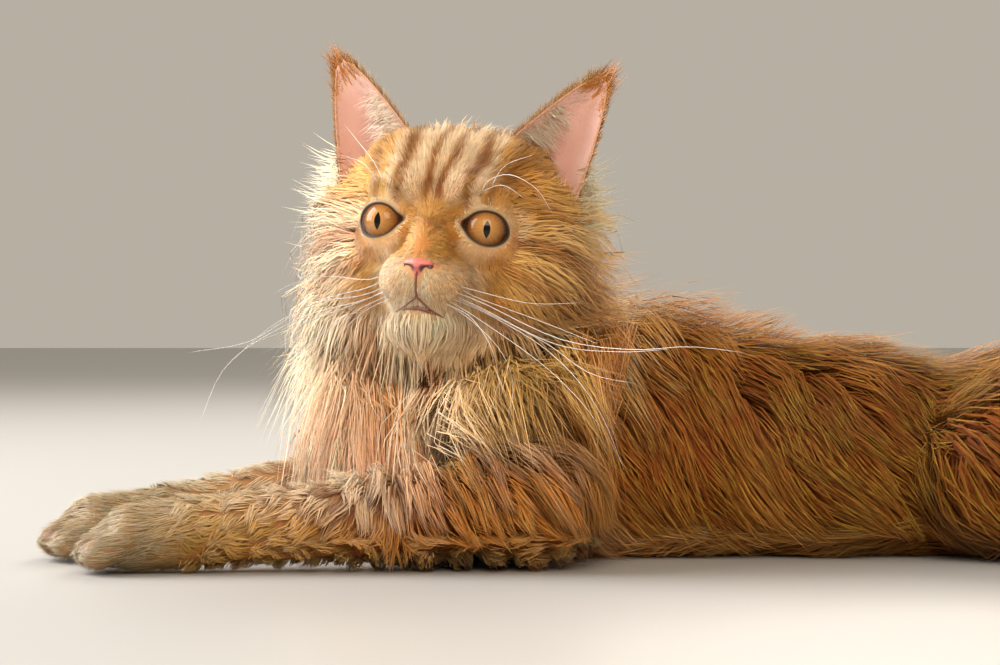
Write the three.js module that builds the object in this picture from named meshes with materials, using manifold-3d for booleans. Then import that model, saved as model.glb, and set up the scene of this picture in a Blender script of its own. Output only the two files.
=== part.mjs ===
// A life-size still model of a young long-haired red tabby cat that lies on its belly.
// Millimetres, +Z up. The cat's body points along -X, its left side is towards -Y,
// and its head is turned to its left, so that the face looks along -Y.
// Every part is one closed solid, and neighbours keep a thin gap where they meet.
// Long coat is a dense core under overlapping locks, and short coat is a smooth surface.
import * as THREE from "three";
import { mergeVertices } from "three/addons/utils/BufferGeometryUtils.js";
import Module from "manifold-3d";

const wasm = await Module();
wasm.setup();

// Driving dimensions. Skin sizes are those of the body under its coat.
const GAP = 0.3;
const EYE_SPACING = 43.6;
const EYE_RADIUS = 11.5;
const HEAD_AT = [-29.4, 0, 150.8];
const HEAD_YAW_DEG = -12;
const HEAD_ROLL_DEG = 4.8;
const EAR_HEIGHT = 62;
const FORELEG_THICKNESS = 26;
const TRUNK_TOP = 114;
const TRUNK_WIDTH = 92;
const TAIL_THICKNESS = 24;

// Coat depth on each part, measured square to the skin out to the tips.
const COAT = {
  face: 6, cheek: 34, nape: 12, neck: 38, chest: 32, trunk: 19, thigh: 19, tail: 26,
  elbow: 14, foreleg: 5, paw: 3.5, foot: 4,
};

// Share of a long coat's depth that is the dense core under its locks.
const CORE = 0.42;

const point = (x, y, z) => new THREE.Vector3(x, y, z);
const degrees = THREE.MathUtils.degToRad;
const { clamp, lerp, smoothstep } = THREE.MathUtils;

// Signed distance to masses that melt into one another.
const ellipsoid = (x, y, z, rx, ry, rz) => {
  const centre = point(x, y, z);
  const radii = point(rx, ry, rz);
  const q = point(0, 0, 0);
  return (p) => {
    q.copy(p).sub(centre).divide(radii);
    const k = q.length();
    return (k * (k - 1)) / (q.divide(radii).length() || 1e-6);
  };
};
const limb = (a, b, ra, rb) => {
  const start = point(...a);
  const axis = point(...b).sub(start);
  const span = axis.lengthSq();
  const q = point(0, 0, 0);
  return (p) => {
    q.copy(p).sub(start);
    const h = clamp(q.dot(axis) / span, 0, 1);
    return q.addScaledVector(axis, -h).length() - lerp(ra, rb, h);
  };
};
const melt = (softness, masses) => (p) => {
  let nearest = Infinity;
  for (const mass of masses) {
    const d = mass(p);
    const h = Math.max(softness - Math.abs(nearest - d), 0) / softness;
    nearest = Math.min(nearest, d) - (Number.isFinite(nearest) ? (h * h * softness) / 4 : 0);
  }
  return nearest;
};
const swell = (form, amount) => (p) => form(p) - (typeof amount === "function" ? amount(p) : amount);
const carve = (form, hollow, softness) => (p) => {
  const a = form(p);
  const b = -hollow(p);
  const h = Math.max(softness - Math.abs(a - b), 0) / softness;
  return Math.max(a, b) + (h * h * softness) / 4;
};

// The outermost point of a form along a ray from inside it.
function surfacePoint(form, from, direction) {
  const FAR = 160;
  const probe = point(0, 0, 0);
  let t = FAR;
  for (let step = 0; step < 90; step++) {
    const d = form(probe.copy(from).addScaledVector(direction, t));
    if (Math.abs(d) < 0.005) break;
    t -= d * 0.85;
  }
  return from.clone().addScaledVector(direction, Math.max(t, 0.2));
}
function outward(form, p) {
  const STEP = 0.5;
  const probe = point(0, 0, 0);
  const at = (x, y, z) => form(probe.set(p.x + x, p.y + y, p.z + z));
  return point(
    at(STEP, 0, 0) - at(-STEP, 0, 0),
    at(0, STEP, 0) - at(0, -STEP, 0),
    at(0, 0, STEP) - at(0, 0, -STEP),
  ).normalize();
}

// A closed solid from a first pole, rings of points and a last pole. From side `mirrored` on,
// its quads are split the other way, so that the two faces of a thin piece are split alike.
function solidFromRings(firstPole, rings, lastPole, mirrored = Infinity) {
  const sides = rings[0].length;
  const position = [firstPole, ...rings.flat(), lastPole].flatMap((p) => p.toArray());
  const index = [];
  const at = (ring, side) => 1 + ring * sides + (side % sides);
  const last = 1 + rings.length * sides;
  for (let s = 0; s < sides; s++) {
    index.push(0, at(0, s + 1), at(0, s));
    for (let r = 0; r + 1 < rings.length; r++) {
      const [a, b, c, d] = [at(r, s), at(r, s + 1), at(r + 1, s + 1), at(r + 1, s)];
      if (s < mirrored) index.push(a, b, d, b, c, d);
      else index.push(a, b, c, a, c, d);
    }
    index.push(last, at(rings.length - 1, s), at(rings.length - 1, s + 1));
  }
  return solidOf(position, index);
}
function solidOf(position, index) {
  const mesh = { numProp: 3, vertProperties: new Float32Array(position), triVerts: new Uint32Array(index) };
  const solid = new wasm.Manifold(new wasm.Mesh(mesh));
  if (solid.volume() > 0) return solid;
  for (let i = 0; i < index.length; i += 3) [index[i + 1], index[i + 2]] = [index[i + 2], index[i + 1]];
  return new wasm.Manifold(new wasm.Mesh({ ...mesh, triVerts: new Uint32Array(index) }));
}
function solidFromGeometry(geometry) {
  geometry.deleteAttribute("normal");
  geometry.deleteAttribute("uv");
  const merged = mergeVertices(geometry, 1e-3);
  return solidOf(Array.from(merged.attributes.position.array), Array.from(merged.index.array));
}
const joined = (solids) => wasm.Manifold.union(solids);
// What is left of a solid on the near side of a plane, half a gap short of it.
const cutAt = (solid, plane) => {
  const normal = point(...plane.away).normalize();
  const offset = normal.dot(point(...plane.at)) - GAP / 2;
  return solid.trimByPlane(normal.clone().negate().toArray(), -offset);
};
const farSide = (plane) => ({ at: plane.at, away: plane.away.map((v) => -v) });
const depthPast = (plane, p) => point(...plane.away).normalize().dot(p.clone().sub(point(...plane.at)));
const largest = (solid) => solid.decompose().reduce((a, b) => (a.volume() > b.volume() ? a : b));

// A form's surface seen from its middle, with finer rings at the front pole.
function wrapBall(form, centre, front, up, ringCount, sides, frontCrowding = 1) {
  const side = up.clone().cross(front).normalize();
  const top = front.clone().cross(side).normalize();
  const ring = (angle) =>
    Array.from({ length: sides }, (_, s) => {
      const turn = (2 * Math.PI * s) / sides;
      const direction = front
        .clone()
        .multiplyScalar(Math.cos(angle))
        .addScaledVector(side, Math.sin(angle) * Math.cos(turn))
        .addScaledVector(top, Math.sin(angle) * Math.sin(turn));
      return surfacePoint(form, centre, direction);
    });
  const rings = [];
  for (let r = 1; r <= ringCount; r++) {
    rings.push(ring(Math.PI * Math.pow(r / (ringCount + 1), frontCrowding)));
  }
  return solidFromRings(
    surfacePoint(form, centre, front),
    rings,
    surfacePoint(form, centre, front.clone().negate()),
  );
}

// A form's surface round a straight or gently bent axis, with a rounded cap at each end.
function wrapAxis(form, stations, sides, rowsPerSpan, capRows) {
  const path = new THREE.CatmullRomCurve3(stations.map((s) => point(...s)));
  const rows = (stations.length - 1) * rowsPerSpan;
  const frameAt = (t) => {
    const along = path.getTangent(t);
    const side = along.clone().cross(point(0, 0, 1)).normalize();
    return { along, side, top: side.clone().cross(along) };
  };
  const ring = (t, lean) =>
    Array.from({ length: sides }, (_, s) => {
      const turn = (2 * Math.PI * s) / sides;
      const { along, side, top } = frameAt(t);
      const direction = side
        .multiplyScalar(Math.cos(turn) * Math.cos(lean))
        .addScaledVector(top, Math.sin(turn) * Math.cos(lean))
        .addScaledVector(along, Math.sin(lean));
      return surfacePoint(form, path.getPoint(t), direction);
    });
  const rings = [];
  for (let c = 1; c <= capRows; c++) rings.push(ring(0, -(Math.PI / 2) * (1 - c / capRows)));
  for (let r = 1; r <= rows; r++) rings.push(ring(r / rows, 0));
  for (let c = 1; c < capRows; c++) rings.push(ring(1, (Math.PI / 2) * (c / capRows)));
  return solidFromRings(
    surfacePoint(form, path.getPoint(0), frameAt(0).along.negate()),
    rings,
    surfacePoint(form, path.getPoint(1), frameAt(1).along),
  );
}

// A round bar along a line of points, with its ends closed.
function bar(points, radiusAt, sides) {
  const path = new THREE.CatmullRomCurve3(points);
  const rows = points.length - 1;
  const rings = [];
  const frames = path.computeFrenetFrames(rows, false);
  for (let r = 0; r <= rows; r++) {
    const centre = path.getPoint(r / rows);
    rings.push(
      Array.from({ length: sides }, (_, s) => {
        const turn = (2 * Math.PI * s) / sides;
        return centre
          .clone()
          .addScaledVector(frames.normals[r], radiusAt(r / rows) * Math.cos(turn))
          .addScaledVector(frames.binormals[r], radiusAt(r / rows) * Math.sin(turn));
      }),
    );
  }
  const end = (t, away) => path.getPoint(t).addScaledVector(path.getTangent(t), away * radiusAt(t) * 0.5);
  return solidFromRings(end(0, -1), rings, end(1, 1));
}

// A repeatable run of draws between -1 and 1.
function drawsFrom(seed) {
  let state = seed;
  return () => {
    state = (state * 1664525 + 1013904223) % 4294967296;
    return (2 * state) / 4294967296 - 1;
  };
}

// A lock is a flat blade, widest near its root and tapered to its tip. Its grown form widens
// more than it thickens, so that it holds the thin edges too.
const LOCK_RINGS = [0, 0.35, 0.75];
const FLOOR_CLEARANCE = 1.2;
const LOCK_ROLL = degrees(9);
const TIP_REACH = 6;
const GROWN_DEPTH = 4;
function lockAlong(trackAt, size, grow) {
  const lifted = (p, extra) => p.setZ(Math.max(p.z, size.floor + FLOOR_CLEARANCE + extra));
  const rings = LOCK_RINGS.map((t) => {
    const { centre, normal, along } = trackAt(t);
    const thick = size.thick * (1 - 0.5 * t);
    const half = (size.width / 2) * Math.sin(Math.PI * (0.2 + 0.8 * t)) * (1 + (2 * grow) / (thick + 2 * grow));
    const across = along.clone().cross(normal).applyAxisAngle(along, LOCK_ROLL).normalize();
    const above = (height) => centre.clone().addScaledVector(normal, height);
    const edge = (s) => lifted(above(-0.05 * thick).addScaledVector(across, s * half), 0.4 * thick);
    const ridge = lifted(above(0.6 * thick + GROWN_DEPTH * grow), thick + GROWN_DEPTH * grow);
    const keel = lifted(above(-0.4 * thick - GROWN_DEPTH * grow), -GROWN_DEPTH * grow);
    return [edge(-1), ridge, edge(1), keel];
  });
  const root = trackAt(0);
  const base = root.centre.clone().addScaledVector(root.along, -0.5 - grow);
  const tip = trackAt(1).centre;
  const onward = tip.clone().sub(trackAt(LOCK_RINGS.at(-1)).centre).normalize();
  tip.addScaledVector(onward, TIP_REACH * grow);
  return solidFromRings(base, rings, lifted(tip, 0.4 * size.thick), 2);
}

// A lock that leaves its root in a straight line and faces one way.
function looseLock(root, away, facing, size, grow) {
  const normal = facing.clone().projectOnPlane(away).normalize();
  const trackAt = (t) => {
    return { centre: root.clone().addScaledVector(away, size.length * t), normal, along: away };
  };
  return lockAlong(trackAt, size, grow);
}

// The lie of the coat at a point: the way out of the surface, and the way along it.
function lieAt(form, flow, p) {
  const normal = outward(form, p);
  return { normal, along: flow(p).projectOnPlane(normal).normalize() };
}

// The line of a lock that follows a surface, from a root sunk under it out to the coat's depth.
const SINK = 5;
const RISE_CURVE = 0.55;
const STEPS = 20;
function lineOn(form, flow, root, size) {
  const at = root.clone();
  const track = [];
  for (let step = 0; step <= STEPS; step++) {
    const t = step / STEPS;
    const { normal, along } = lieAt(form, flow, at);
    along.applyAxisAngle(normal, size.bend * (2 * t - 0.6));
    const height = (size.rise + SINK) * Math.pow(t, RISE_CURVE) - SINK;
    track.push({ centre: at.clone().addScaledVector(normal, height), normal, along });
    at.addScaledVector(along, size.length / STEPS);
    at.addScaledVector(normal, -form(at));
  }
  return track;
}

// A lock on such a line. One that would turn too sharply over a crease is made shorter.
const SHORTER = [1, 0.85, 0.7, 0.55];
const MOST_TURN = degrees(58);
const MOST_SLOPE = degrees(68);
function lockOn(form, flow, root, size, grow) {
  for (const share of SHORTER) {
    const line = lineOn(form, flow, root, { ...size, length: size.length * share });
    const stops = [...LOCK_RINGS, 1].map((t) => line[Math.round(t * STEPS)]);
    const isGentle = stops.slice(1).every((stop, i) => {
      const before = stops[i];
      const step = stop.centre.clone().sub(before.centre);
      const turned = Math.max(stop.normal.angleTo(before.normal), stop.along.angleTo(before.along));
      const slope = Math.max(step.angleTo(stop.along), step.angleTo(before.along));
      return turned < MOST_TURN && slope < MOST_SLOPE;
    });
    if (!isGentle) continue;
    const trackAt = (t) => {
      const { centre, normal, along } = line[Math.round(t * STEPS)];
      return { centre: centre.clone(), normal, along };
    };
    return [lockAlong(trackAt, size, grow)];
  }
  return [];
}

// Roots spread evenly over a form round its axis, closer together across the lie than along it.
const GOLDEN_TURN = Math.PI * (3 - Math.sqrt(5));
function rootsOn({ core, axis, reach, flow, across, along, keep }) {
  const TRIES = 900;
  const length = axis.getLength();
  const roots = [];
  for (let i = 0; i < TRIES; i++) {
    const turn = GOLDEN_TURN * i;
    const u = (i / TRIES) * (length + 2 * reach) - reach;
    const beyond = (u - clamp(u, 0, length)) / reach;
    const t = clamp(u / length, 0, 1);
    const onward = axis.getTangentAt(t);
    const side = onward.clone().cross(Math.abs(onward.z) > 0.8 ? point(1, 0, 0) : point(0, 0, 1)).normalize();
    const top = side.clone().cross(onward);
    const level = Math.sqrt(1 - beyond * beyond);
    const direction = onward
      .clone()
      .multiplyScalar(beyond)
      .addScaledVector(side, level * Math.cos(turn))
      .addScaledVector(top, level * Math.sin(turn));
    const at = surfacePoint(core, axis.getPointAt(t), direction);
    if (!keep(at)) continue;
    const lie = lieAt(core, flow, at).along;
    const clear = roots.every((other) => {
      const apart = at.clone().sub(other);
      const ahead = apart.dot(lie);
      const beside = Math.sqrt(Math.max(apart.lengthSq() - ahead * ahead, 0));
      return (ahead / along) ** 2 + (beside / across) ** 2 > 1;
    });
    if (clear) roots.push(at);
  }
  return roots;
}

// All the locks of one set. Each lies over the roots of the next ones along the coat.
function locksOf(set, grow) {
  set.roots ??= rootsOn(set);
  const draw = drawsFrom(set.seed);
  return set.roots.flatMap((root) => {
    const size = {
      length: set.length * (1 + 0.18 * draw()),
      width: set.width * (1 + 0.14 * draw()),
      rise: set.rise * (1 + 0.2 * draw()),
      bend: set.bend * draw(),
      thick: set.thick,
      floor: set.floor ?? 0,
    };
    return lockOn(set.over ?? set.core, set.flow, root, size, grow);
  });
}

// The head's own frame: x to the cat's left, -y forwards, z up, from midway between the eyes.
const headTurn = new THREE.Euler(0, degrees(HEAD_ROLL_DEG), degrees(HEAD_YAW_DEG), "ZYX");
const headFrame = new THREE.Matrix4().compose(
  point(...HEAD_AT),
  new THREE.Quaternion().setFromEuler(headTurn),
  point(1, 1, 1),
);
const headFrameBack = headFrame.clone().invert();
const inHead = (solid) => solid.transform(headFrame.elements);
const NO_FLOOR = -1000;
const LEFT = 1;
const RIGHT = -1;

// Eyeballs look a little outwards, and their clear front bulges.
const EYE_BACK = 7;
const EYE_SPLAY_DEG = 20;
const eyeCentre = (side) => point((side * EYE_SPACING) / 2, EYE_BACK, 0);
const eyeSplay = degrees(EYE_SPLAY_DEG);
const eyeAxis = (side) => point(side * Math.sin(eyeSplay), -Math.cos(eyeSplay), 0);
function eye(side, grow) {
  const ball = new THREE.SphereGeometry(EYE_RADIUS + grow, 12, 8);
  const centre = eyeCentre(side);
  return inHead(solidFromGeometry(ball.rotateX(Math.PI / 2).translate(centre.x, centre.y, centre.z)));
}

// Skull, cheeks, muzzle and jaws, with a shallow dish round each eye.
const MUZZLE_LENGTH = 20;
const MOUTH_DROP = 33;
const EYE_PROUD = 6;
const skullMasses = [
  ellipsoid(0, 42, 4, 40, 44, 36),
  ...[LEFT, RIGHT].flatMap((s) => [
    ellipsoid(s * 25, 28, -17, 22, 24, 20),
    ellipsoid(s * 16, 9, 15, 15, 14, 9),
    ellipsoid(s * 23, 38, 24, 17, 20, 15),
    ellipsoid(s * 8.5, -9.5, -25, 9.5, 10.5, 8),
  ]),
  ellipsoid(0, 2, -22, 18, 20, 13),
  limb([0, 2, 4], [0, 3 - MUZZLE_LENGTH + 4, -14], 9, 6.5),
  ellipsoid(0, 20, -34, 21, 28, 13),
  ellipsoid(0, -5, -39, 10.5, 11, 7.5),
];
const dish = (side) => {
  const reach = 18;
  const centre = eyeCentre(side).addScaledVector(eyeAxis(side), EYE_PROUD + reach);
  return ellipsoid(centre.x, centre.y, centre.z, reach, reach, reach * 0.85);
};
const skull = carve(carve(melt(9, skullMasses), dish(LEFT), 5), dish(RIGHT), 5);
const HEAD_MIDDLE = point(0, 24, -10);

// The face's fur is short at the nose, deeper towards the back of the head and deepest on the cheeks.
const cheekShare = (p) =>
  smoothstep(Math.abs(p.x), 20, 44) * smoothstep(p.y, -2, 26) * (1 - smoothstep(p.z, 0, 26));
const headCore = swell(skull, (p) => {
  const short = COAT.face * smoothstep(p.y, -14, 24) + 0.7;
  return short + (COAT.cheek * CORE - COAT.face) * cheekShare(p);
});

// Upper and lower lid as one raised rim on the eyeball.
const OPENING_WIDE_DEG = 57;
const OPENING_HIGH_DEG = 42;
function lids(side, grow) {
  const axis = eyeAxis(side);
  const across = point(0, 0, 1).cross(axis).normalize();
  const POINTS = 14;
  const rim = Array.from({ length: POINTS }, (_, i) => {
    const turn = (2 * Math.PI * i) / POINTS;
    const wide = Math.sin(degrees(OPENING_WIDE_DEG)) * Math.cos(turn);
    const high = Math.sin(degrees(OPENING_HIGH_DEG)) * Math.sin(turn);
    return axis
      .clone()
      .multiplyScalar(Math.sqrt(1 - wide * wide - high * high))
      .addScaledVector(across, wide)
      .addScaledVector(point(0, 0, 1), high)
      .multiplyScalar(EYE_RADIUS + 0.9)
      .add(eyeCentre(side));
  });
  const half = POINTS / 2;
  const upper = rim.slice(0, half + 1);
  const lower = [...rim.slice(half), rim[0]];
  return [upper, lower].map((lid) => bar(lid, () => 1.6 + grow, 4));
}

// The mouth is a groove: down from the nose, then back along each side under the lips.
const MOUTH_WIDTH = 15;
function mouthGrooves() {
  const onFace = (x, y, z) => {
    return surfacePoint(headCore, HEAD_MIDDLE, point(x, y, z).sub(HEAD_MIDDLE).normalize());
  };
  const philtrum = [0, 0.5, 1].map((t) => onFace(0, -20, -24 - t * (MOUTH_DROP - 25)));
  const corner = (s) =>
    [0, 0.33, 0.66, 1].map((t) =>
      onFace(s * MOUTH_WIDTH * t, -18 + 13 * t * t, -MOUTH_DROP - 2.5 * Math.sin(t * 2.4)),
    );
  return [bar(philtrum, () => 0.8, 6), bar(corner(LEFT), () => 1.1, 6), bar(corner(RIGHT), () => 1.1, 6)];
}

// Cores meet on these planes: head and neck in the head's frame, then neck and chest, chest and trunk.
const NAPE = { at: [0, 60, -28], away: [0, 0.5, -0.87] };
const THROAT = { at: [-18, 74, 94], away: [0.1, 0.35, -0.93] };
const SHOULDER = { at: [38, 0, 0], away: [1, 0, 0] };

// Neck, from the chest up to the back of the skull.
const neckForm = melt(16, [limb([-12, 82, 84], [-17, 56, 120], 40, 34), ellipsoid(-22, 54, 112, 44, 34, 32)]);
const neckCore = swell(neckForm, COAT.neck * CORE);

// The coat of the head runs from the nose backwards over the cheeks and down to the ruff.
const NOSE_TIP = point(0, -30, -4);
const backFromNose = (p) => p.clone().sub(NOSE_TIP).normalize().add(point(0, 0, -0.3));
const onHead = (form) => (p) => form(p.clone().applyMatrix4(headFrame));
const headAndNeck = melt(8, [headCore, onHead(neckCore)]);
const aboveNape = (p) => depthPast(NAPE, p) < -5;
const headSets = [
  {
    core: headCore, over: headAndNeck, flow: backFromNose, seed: 11, floor: NO_FLOOR,
    axis: new THREE.LineCurve3(point(-20, 30, -16), point(20, 30, -16)), reach: 32,
    length: 48, width: 25, thick: 3.6, rise: 25, bend: 0.35, across: 22, along: 30,
    keep: (p) => Math.abs(p.x) > 36 && p.y > 14 && p.z < 14 && aboveNape(p),
  },
  {
    core: headCore, over: headAndNeck, flow: (p) => point(0.02 * p.x, 0.5, -1), seed: 12, floor: NO_FLOOR,
    axis: new THREE.LineCurve3(point(0, 20, 6), point(0, 56, 6)), reach: 30,
    length: 38, width: 22, thick: 3.2, rise: COAT.nape - COAT.face, bend: 0.3, across: 20, along: 28,
    keep: (p) => Math.abs(p.x) < 36 && p.y > 56 && aboveNape(p),
  },
];

// The beard hangs from the chin and the edge of the jaw.
const BEARD = { width: 14, thick: 3, floor: NO_FLOOR };
const BEARD_LOCKS = 7;
function beard(grow) {
  const draw = drawsFrom(13);
  return Array.from({ length: BEARD_LOCKS }, (_, i) => {
    const x = 9.5 * (i - (BEARD_LOCKS - 1) / 2);
    const root = point(x, 0.022 * x * x - 3, 0.012 * x * x - 42);
    const away = point(0.012 * x, 0.18 + 0.06 * draw(), -1).normalize();
    const size = { ...BEARD, length: 33 - 0.3 * Math.abs(x) + 3 * draw() };
    return looseLock(root, away, point(0.03 * x, -1, 0), size, grow);
  });
}

function head(grow) {
  const front = point(0, -1, -0.25).normalize();
  const face = wrapBall(swell(headCore, grow), HEAD_MIDDLE, front, point(0, 0, 1), 19, 28, 1.12);
  const locks = headSets.flatMap((set) => locksOf(set, grow));
  const rims = [...lids(LEFT, grow), ...lids(RIGHT, grow)];
  let whole = joined([cutAt(face, NAPE), ...locks, ...beard(grow), ...rims]);
  if (!grow) for (const groove of mouthGrooves()) whole = whole.subtract(groove);
  return inHead(whole);
}

// Bare nose: a broad top, two wings and a narrow strip below, with a nostril on each side.
function nose(grow) {
  const tip = -MUZZLE_LENGTH;
  const form = melt(2, [
    ellipsoid(0, tip + 2.5, -17.2, 6.6, 4.5, 3),
    ellipsoid(-4.6, tip + 2.8, -19, 2.9, 3.6, 2.4),
    ellipsoid(4.6, tip + 2.8, -19, 2.9, 3.6, 2.4),
    limb([0, tip + 1.8, -18], [0, tip + 3, -23.5], 3, 1.4),
  ]);
  const middle = point(0, tip + 3, -18.5);
  let whole = wrapBall(swell(form, 0.8 + grow), middle, point(0, -1, 0), point(0, 0, 1), 6, 12);
  if (!grow)
    for (const s of [LEFT, RIGHT]) {
      const line = [[2.6, tip - 4, -19.8], [3.9, tip - 0.5, -19.6], [5.4, tip + 2.2, -19]];
      const nostril = line.map(([x, y, z]) => point(s * x, y, z));
      whole = whole.subtract(bar(nostril, () => 1.15, 6));
    }
  return inHead(whole);
}

// Each ear is a curved three-cornered cup, open to the front and side, with a tuft at its tip
// and long hair that grows from its inner edge across the cup.
const EAR = { innerRoot: [17, 36, 34], outerRoot: [51, 40, 3], tip: [62, 50, 73], wall: 2.4, cup: 15 };
const EAR_TUFT = { length: 17, width: 7, thick: 2.4, floor: NO_FLOOR };
const EAR_HAIR = { length: 22, width: 7, thick: 2.2, floor: NO_FLOOR };
function ear(side, grow) {
  const inner = point(...EAR.innerRoot);
  const outer = point(...EAR.outerRoot);
  const root = inner.clone().lerp(outer, 0.5);
  const rise = point(...EAR.tip).sub(root).setLength(EAR_HEIGHT);
  const across = outer.clone().sub(inner);
  const back = across.clone().cross(rise).normalize();
  if (back.y < 0) back.negate();
  const ROWS = 8;
  const SIDES = 9;
  const onCup = (t, s) => {
    const half = 0.5 * (Math.pow(1 - t, 0.66) + 0.02);
    const hollow = (1 - s * s) * EAR.cup * Math.pow(1 - t, 0.8) * (1 + 0.2 * t);
    return root
      .clone()
      .addScaledVector(rise, t)
      .addScaledVector(across, s * half)
      .addScaledVector(back, hollow);
  };
  const wall = EAR.wall / 2 + grow;
  const rings = [];
  for (let r = 0; r <= ROWS; r++) {
    const t = -0.18 + (1.12 * r) / ROWS;
    const middle = Array.from({ length: SIDES }, (_, i) =>
      onCup(Math.max(t, 0), (2 * i) / (SIDES - 1) - 1).addScaledVector(rise, Math.min(t, 0)),
    );
    const thin = wall * (t > 0.6 ? 1 - 0.6 * (t - 0.6) : 1);
    const behind = middle.map((p) => p.clone().addScaledVector(back, thin));
    const before = middle.map((p) => p.clone().addScaledVector(back, -thin)).reverse();
    rings.push([...behind, ...before]);
  }
  const centreOf = (ring, shift) =>
    ring
      .reduce((sum, p) => sum.add(p), point(0, 0, 0))
      .divideScalar(ring.length)
      .addScaledVector(rise, shift);
  const base = centreOf([rings[0][4], rings[0][13]], -0.01);
  const tip = centreOf(rings.at(-1), 0.07);
  const front = back.clone().negate();
  const riseWay = rise.clone().normalize();
  const acrossWay = across.clone().normalize();
  const hairWay = (lift) => {
    return acrossWay.clone().addScaledVector(riseWay, lift).addScaledVector(back, -0.12).normalize();
  };
  const innerHair = looseLock(onCup(0.22, -0.97), hairWay(0.5), front, EAR_HAIR, grow);
  const sideHairs = [0.14, 0.28].map((t) => looseLock(onCup(t, 0.96), hairWay(0.1), front, EAR_HAIR, grow));
  const tuftWay = riseWay.clone().addScaledVector(acrossWay, 0.08).normalize();
  const tuft = looseLock(onCup(0.86, 0), tuftWay, front, EAR_TUFT, grow);
  let whole = joined([solidFromRings(base, rings, tip), tuft, innerHair, ...sideHairs]);
  if (side === RIGHT) whole = whole.mirror([1, 0, 0]);
  return inHead(whole);
}

// Chest with both shoulders.
const CHEST_MIDDLE_Y = 88;
const chestForm = melt(18, [
  ellipsoid(-22, CHEST_MIDDLE_Y - 8, 54, 56, 44, 58),
  ellipsoid(10, CHEST_MIDDLE_Y - 30, 62, 36, 22, 44),
  ellipsoid(10, CHEST_MIDDLE_Y + 30, 62, 36, 22, 44),
]);
const chestCore = swell(chestForm, COAT.chest * CORE);

// Ribs, loin and hips.
const TRUNK_Y = 92;
const trunkForm = melt(24, [
  ellipsoid(62, TRUNK_Y, TRUNK_TOP - 62, 74, TRUNK_WIDTH / 2, 62),
  ellipsoid(150, TRUNK_Y, TRUNK_TOP - 72, 74, TRUNK_WIDTH / 2, 50),
  ellipsoid(245, TRUNK_Y, TRUNK_TOP - 76, 62, TRUNK_WIDTH / 2 + 3, 42),
]);
const trunkCore = swell(trunkForm, COAT.trunk * CORE);

// Forelegs stretched forwards on the floor: upper arm, forearm and wrist.
const FORELEG = {
  left: { shoulder: [-10, 52, 66], elbow: [16, 12, 27], wrist: [-136, -2, 17], toes: [-178, -3, 12] },
  right: { shoulder: [-20, 112, 70], elbow: [-32, 106, 37], wrist: [-156, 58, 18], toes: [-203, 44, 12] },
};
const legRadius = FORELEG_THICKNESS / 2;
const wristPlane = (leg) => {
  const along = point(...leg.toes).sub(point(...leg.wrist)).setZ(0).normalize();
  return { at: point(...leg.wrist).addScaledVector(along, 4).toArray(), away: along.toArray() };
};
const upperArm = (leg) => swell(limb(leg.shoulder, leg.elbow, 21, 19), COAT.foreleg);
const forearm = (leg) => swell(limb(leg.elbow, leg.wrist, 19, legRadius), COAT.foreleg);

// Hind legs folded beside the hips: a broad thigh, then the long foot flat on the floor.
const HIND = {
  left: { hip: [262, 68, 52], knee: [226, 44, 42], hock: [304, 32, 20], toes: [246, 22, 10] },
  right: { hip: [262, 116, 52], knee: [226, 140, 42], hock: [304, 152, 20], toes: [246, 162, 10] },
};
const thighForm = (leg) =>
  melt(14, [
    limb(leg.hip, leg.knee, 34, 24),
    limb(leg.knee, leg.hock, 22, 12),
    ellipsoid(leg.hip[0] + 4, (leg.hip[1] + leg.hock[1]) / 2, 44, 42, 26, 36),
  ]);
const thighCore = (leg) => swell(thighForm(leg), COAT.thigh * CORE);

// Locks glide over this whole body, so that none dives into a neighbour.
const thighCores = [thighCore(HIND.left), thighCore(HIND.right)];
const bodyCore = melt(10, [
  neckCore, chestCore, trunkCore, ...thighCores,
  upperArm(FORELEG.left), forearm(FORELEG.left), upperArm(FORELEG.right), forearm(FORELEG.right),
]);

// Near the floor the coat turns outwards instead of running into it.
function settled(p, x, y, z) {
  const low = 1 - smoothstep(p.z, 8, 44);
  return point(x, y + 0.6 * low * Math.sign(p.y - TRUNK_Y), z * (1 - 0.85 * low));
}
const neckFlow = (p) => settled(p, (0.5 * (p.x - HEAD_AT[0])) / 40, 0.3, -1);
const chestFlow = (p) => {
  const back = smoothstep(p.x, -40, 40);
  return settled(p, lerp(-0.35, 0.55, back), 0.004 * (p.y - CHEST_MIDDLE_Y), -1);
};
const trunkFlow = (p) => {
  const back = smoothstep(p.x, 50, 250);
  return settled(p, lerp(0.6, 1, back), 0.012 * (p.y - TRUNK_Y), lerp(-1, -0.45, back));
};
const thighFlow = (p) => settled(p, 0.7, 0, -1);
const forelegFlow = (p) => settled(p, lerp(-0.9, 0.6, smoothstep(p.x, -110, 0)), 0, -1);

const neckSet = {
  core: neckCore, over: bodyCore, flow: neckFlow, seed: 21,
  axis: new THREE.LineCurve3(point(-16, 76, 92), point(-20, 58, 120)), reach: 50,
  length: 58, width: 28, thick: 4, rise: COAT.neck * (1 - CORE), bend: 0.4, across: 19, along: 20,
  keep: (p) => depthPast(THROAT, p) < -7 && depthPast(NAPE, p.clone().applyMatrix4(headFrameBack)) > 4,
};
const clearOfForelegs = (p) =>
  Math.min(...[FORELEG.left, FORELEG.right].flatMap((leg) => [upperArm(leg)(p), forearm(leg)(p)])) > 3;
const chestSet = {
  core: chestCore, over: bodyCore, flow: chestFlow, seed: 31,
  axis: new THREE.LineCurve3(point(-34, 80, 54), point(20, 88, 54)), reach: 50,
  length: 62, width: 32, thick: 4.2, rise: COAT.chest * (1 - CORE), bend: 0.4, across: 26, along: 34,
  keep: (p) => depthPast(THROAT, p) > 6 && p.x < SHOULDER.at[0] - 8 && p.z > 24 && clearOfForelegs(p),
};
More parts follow.
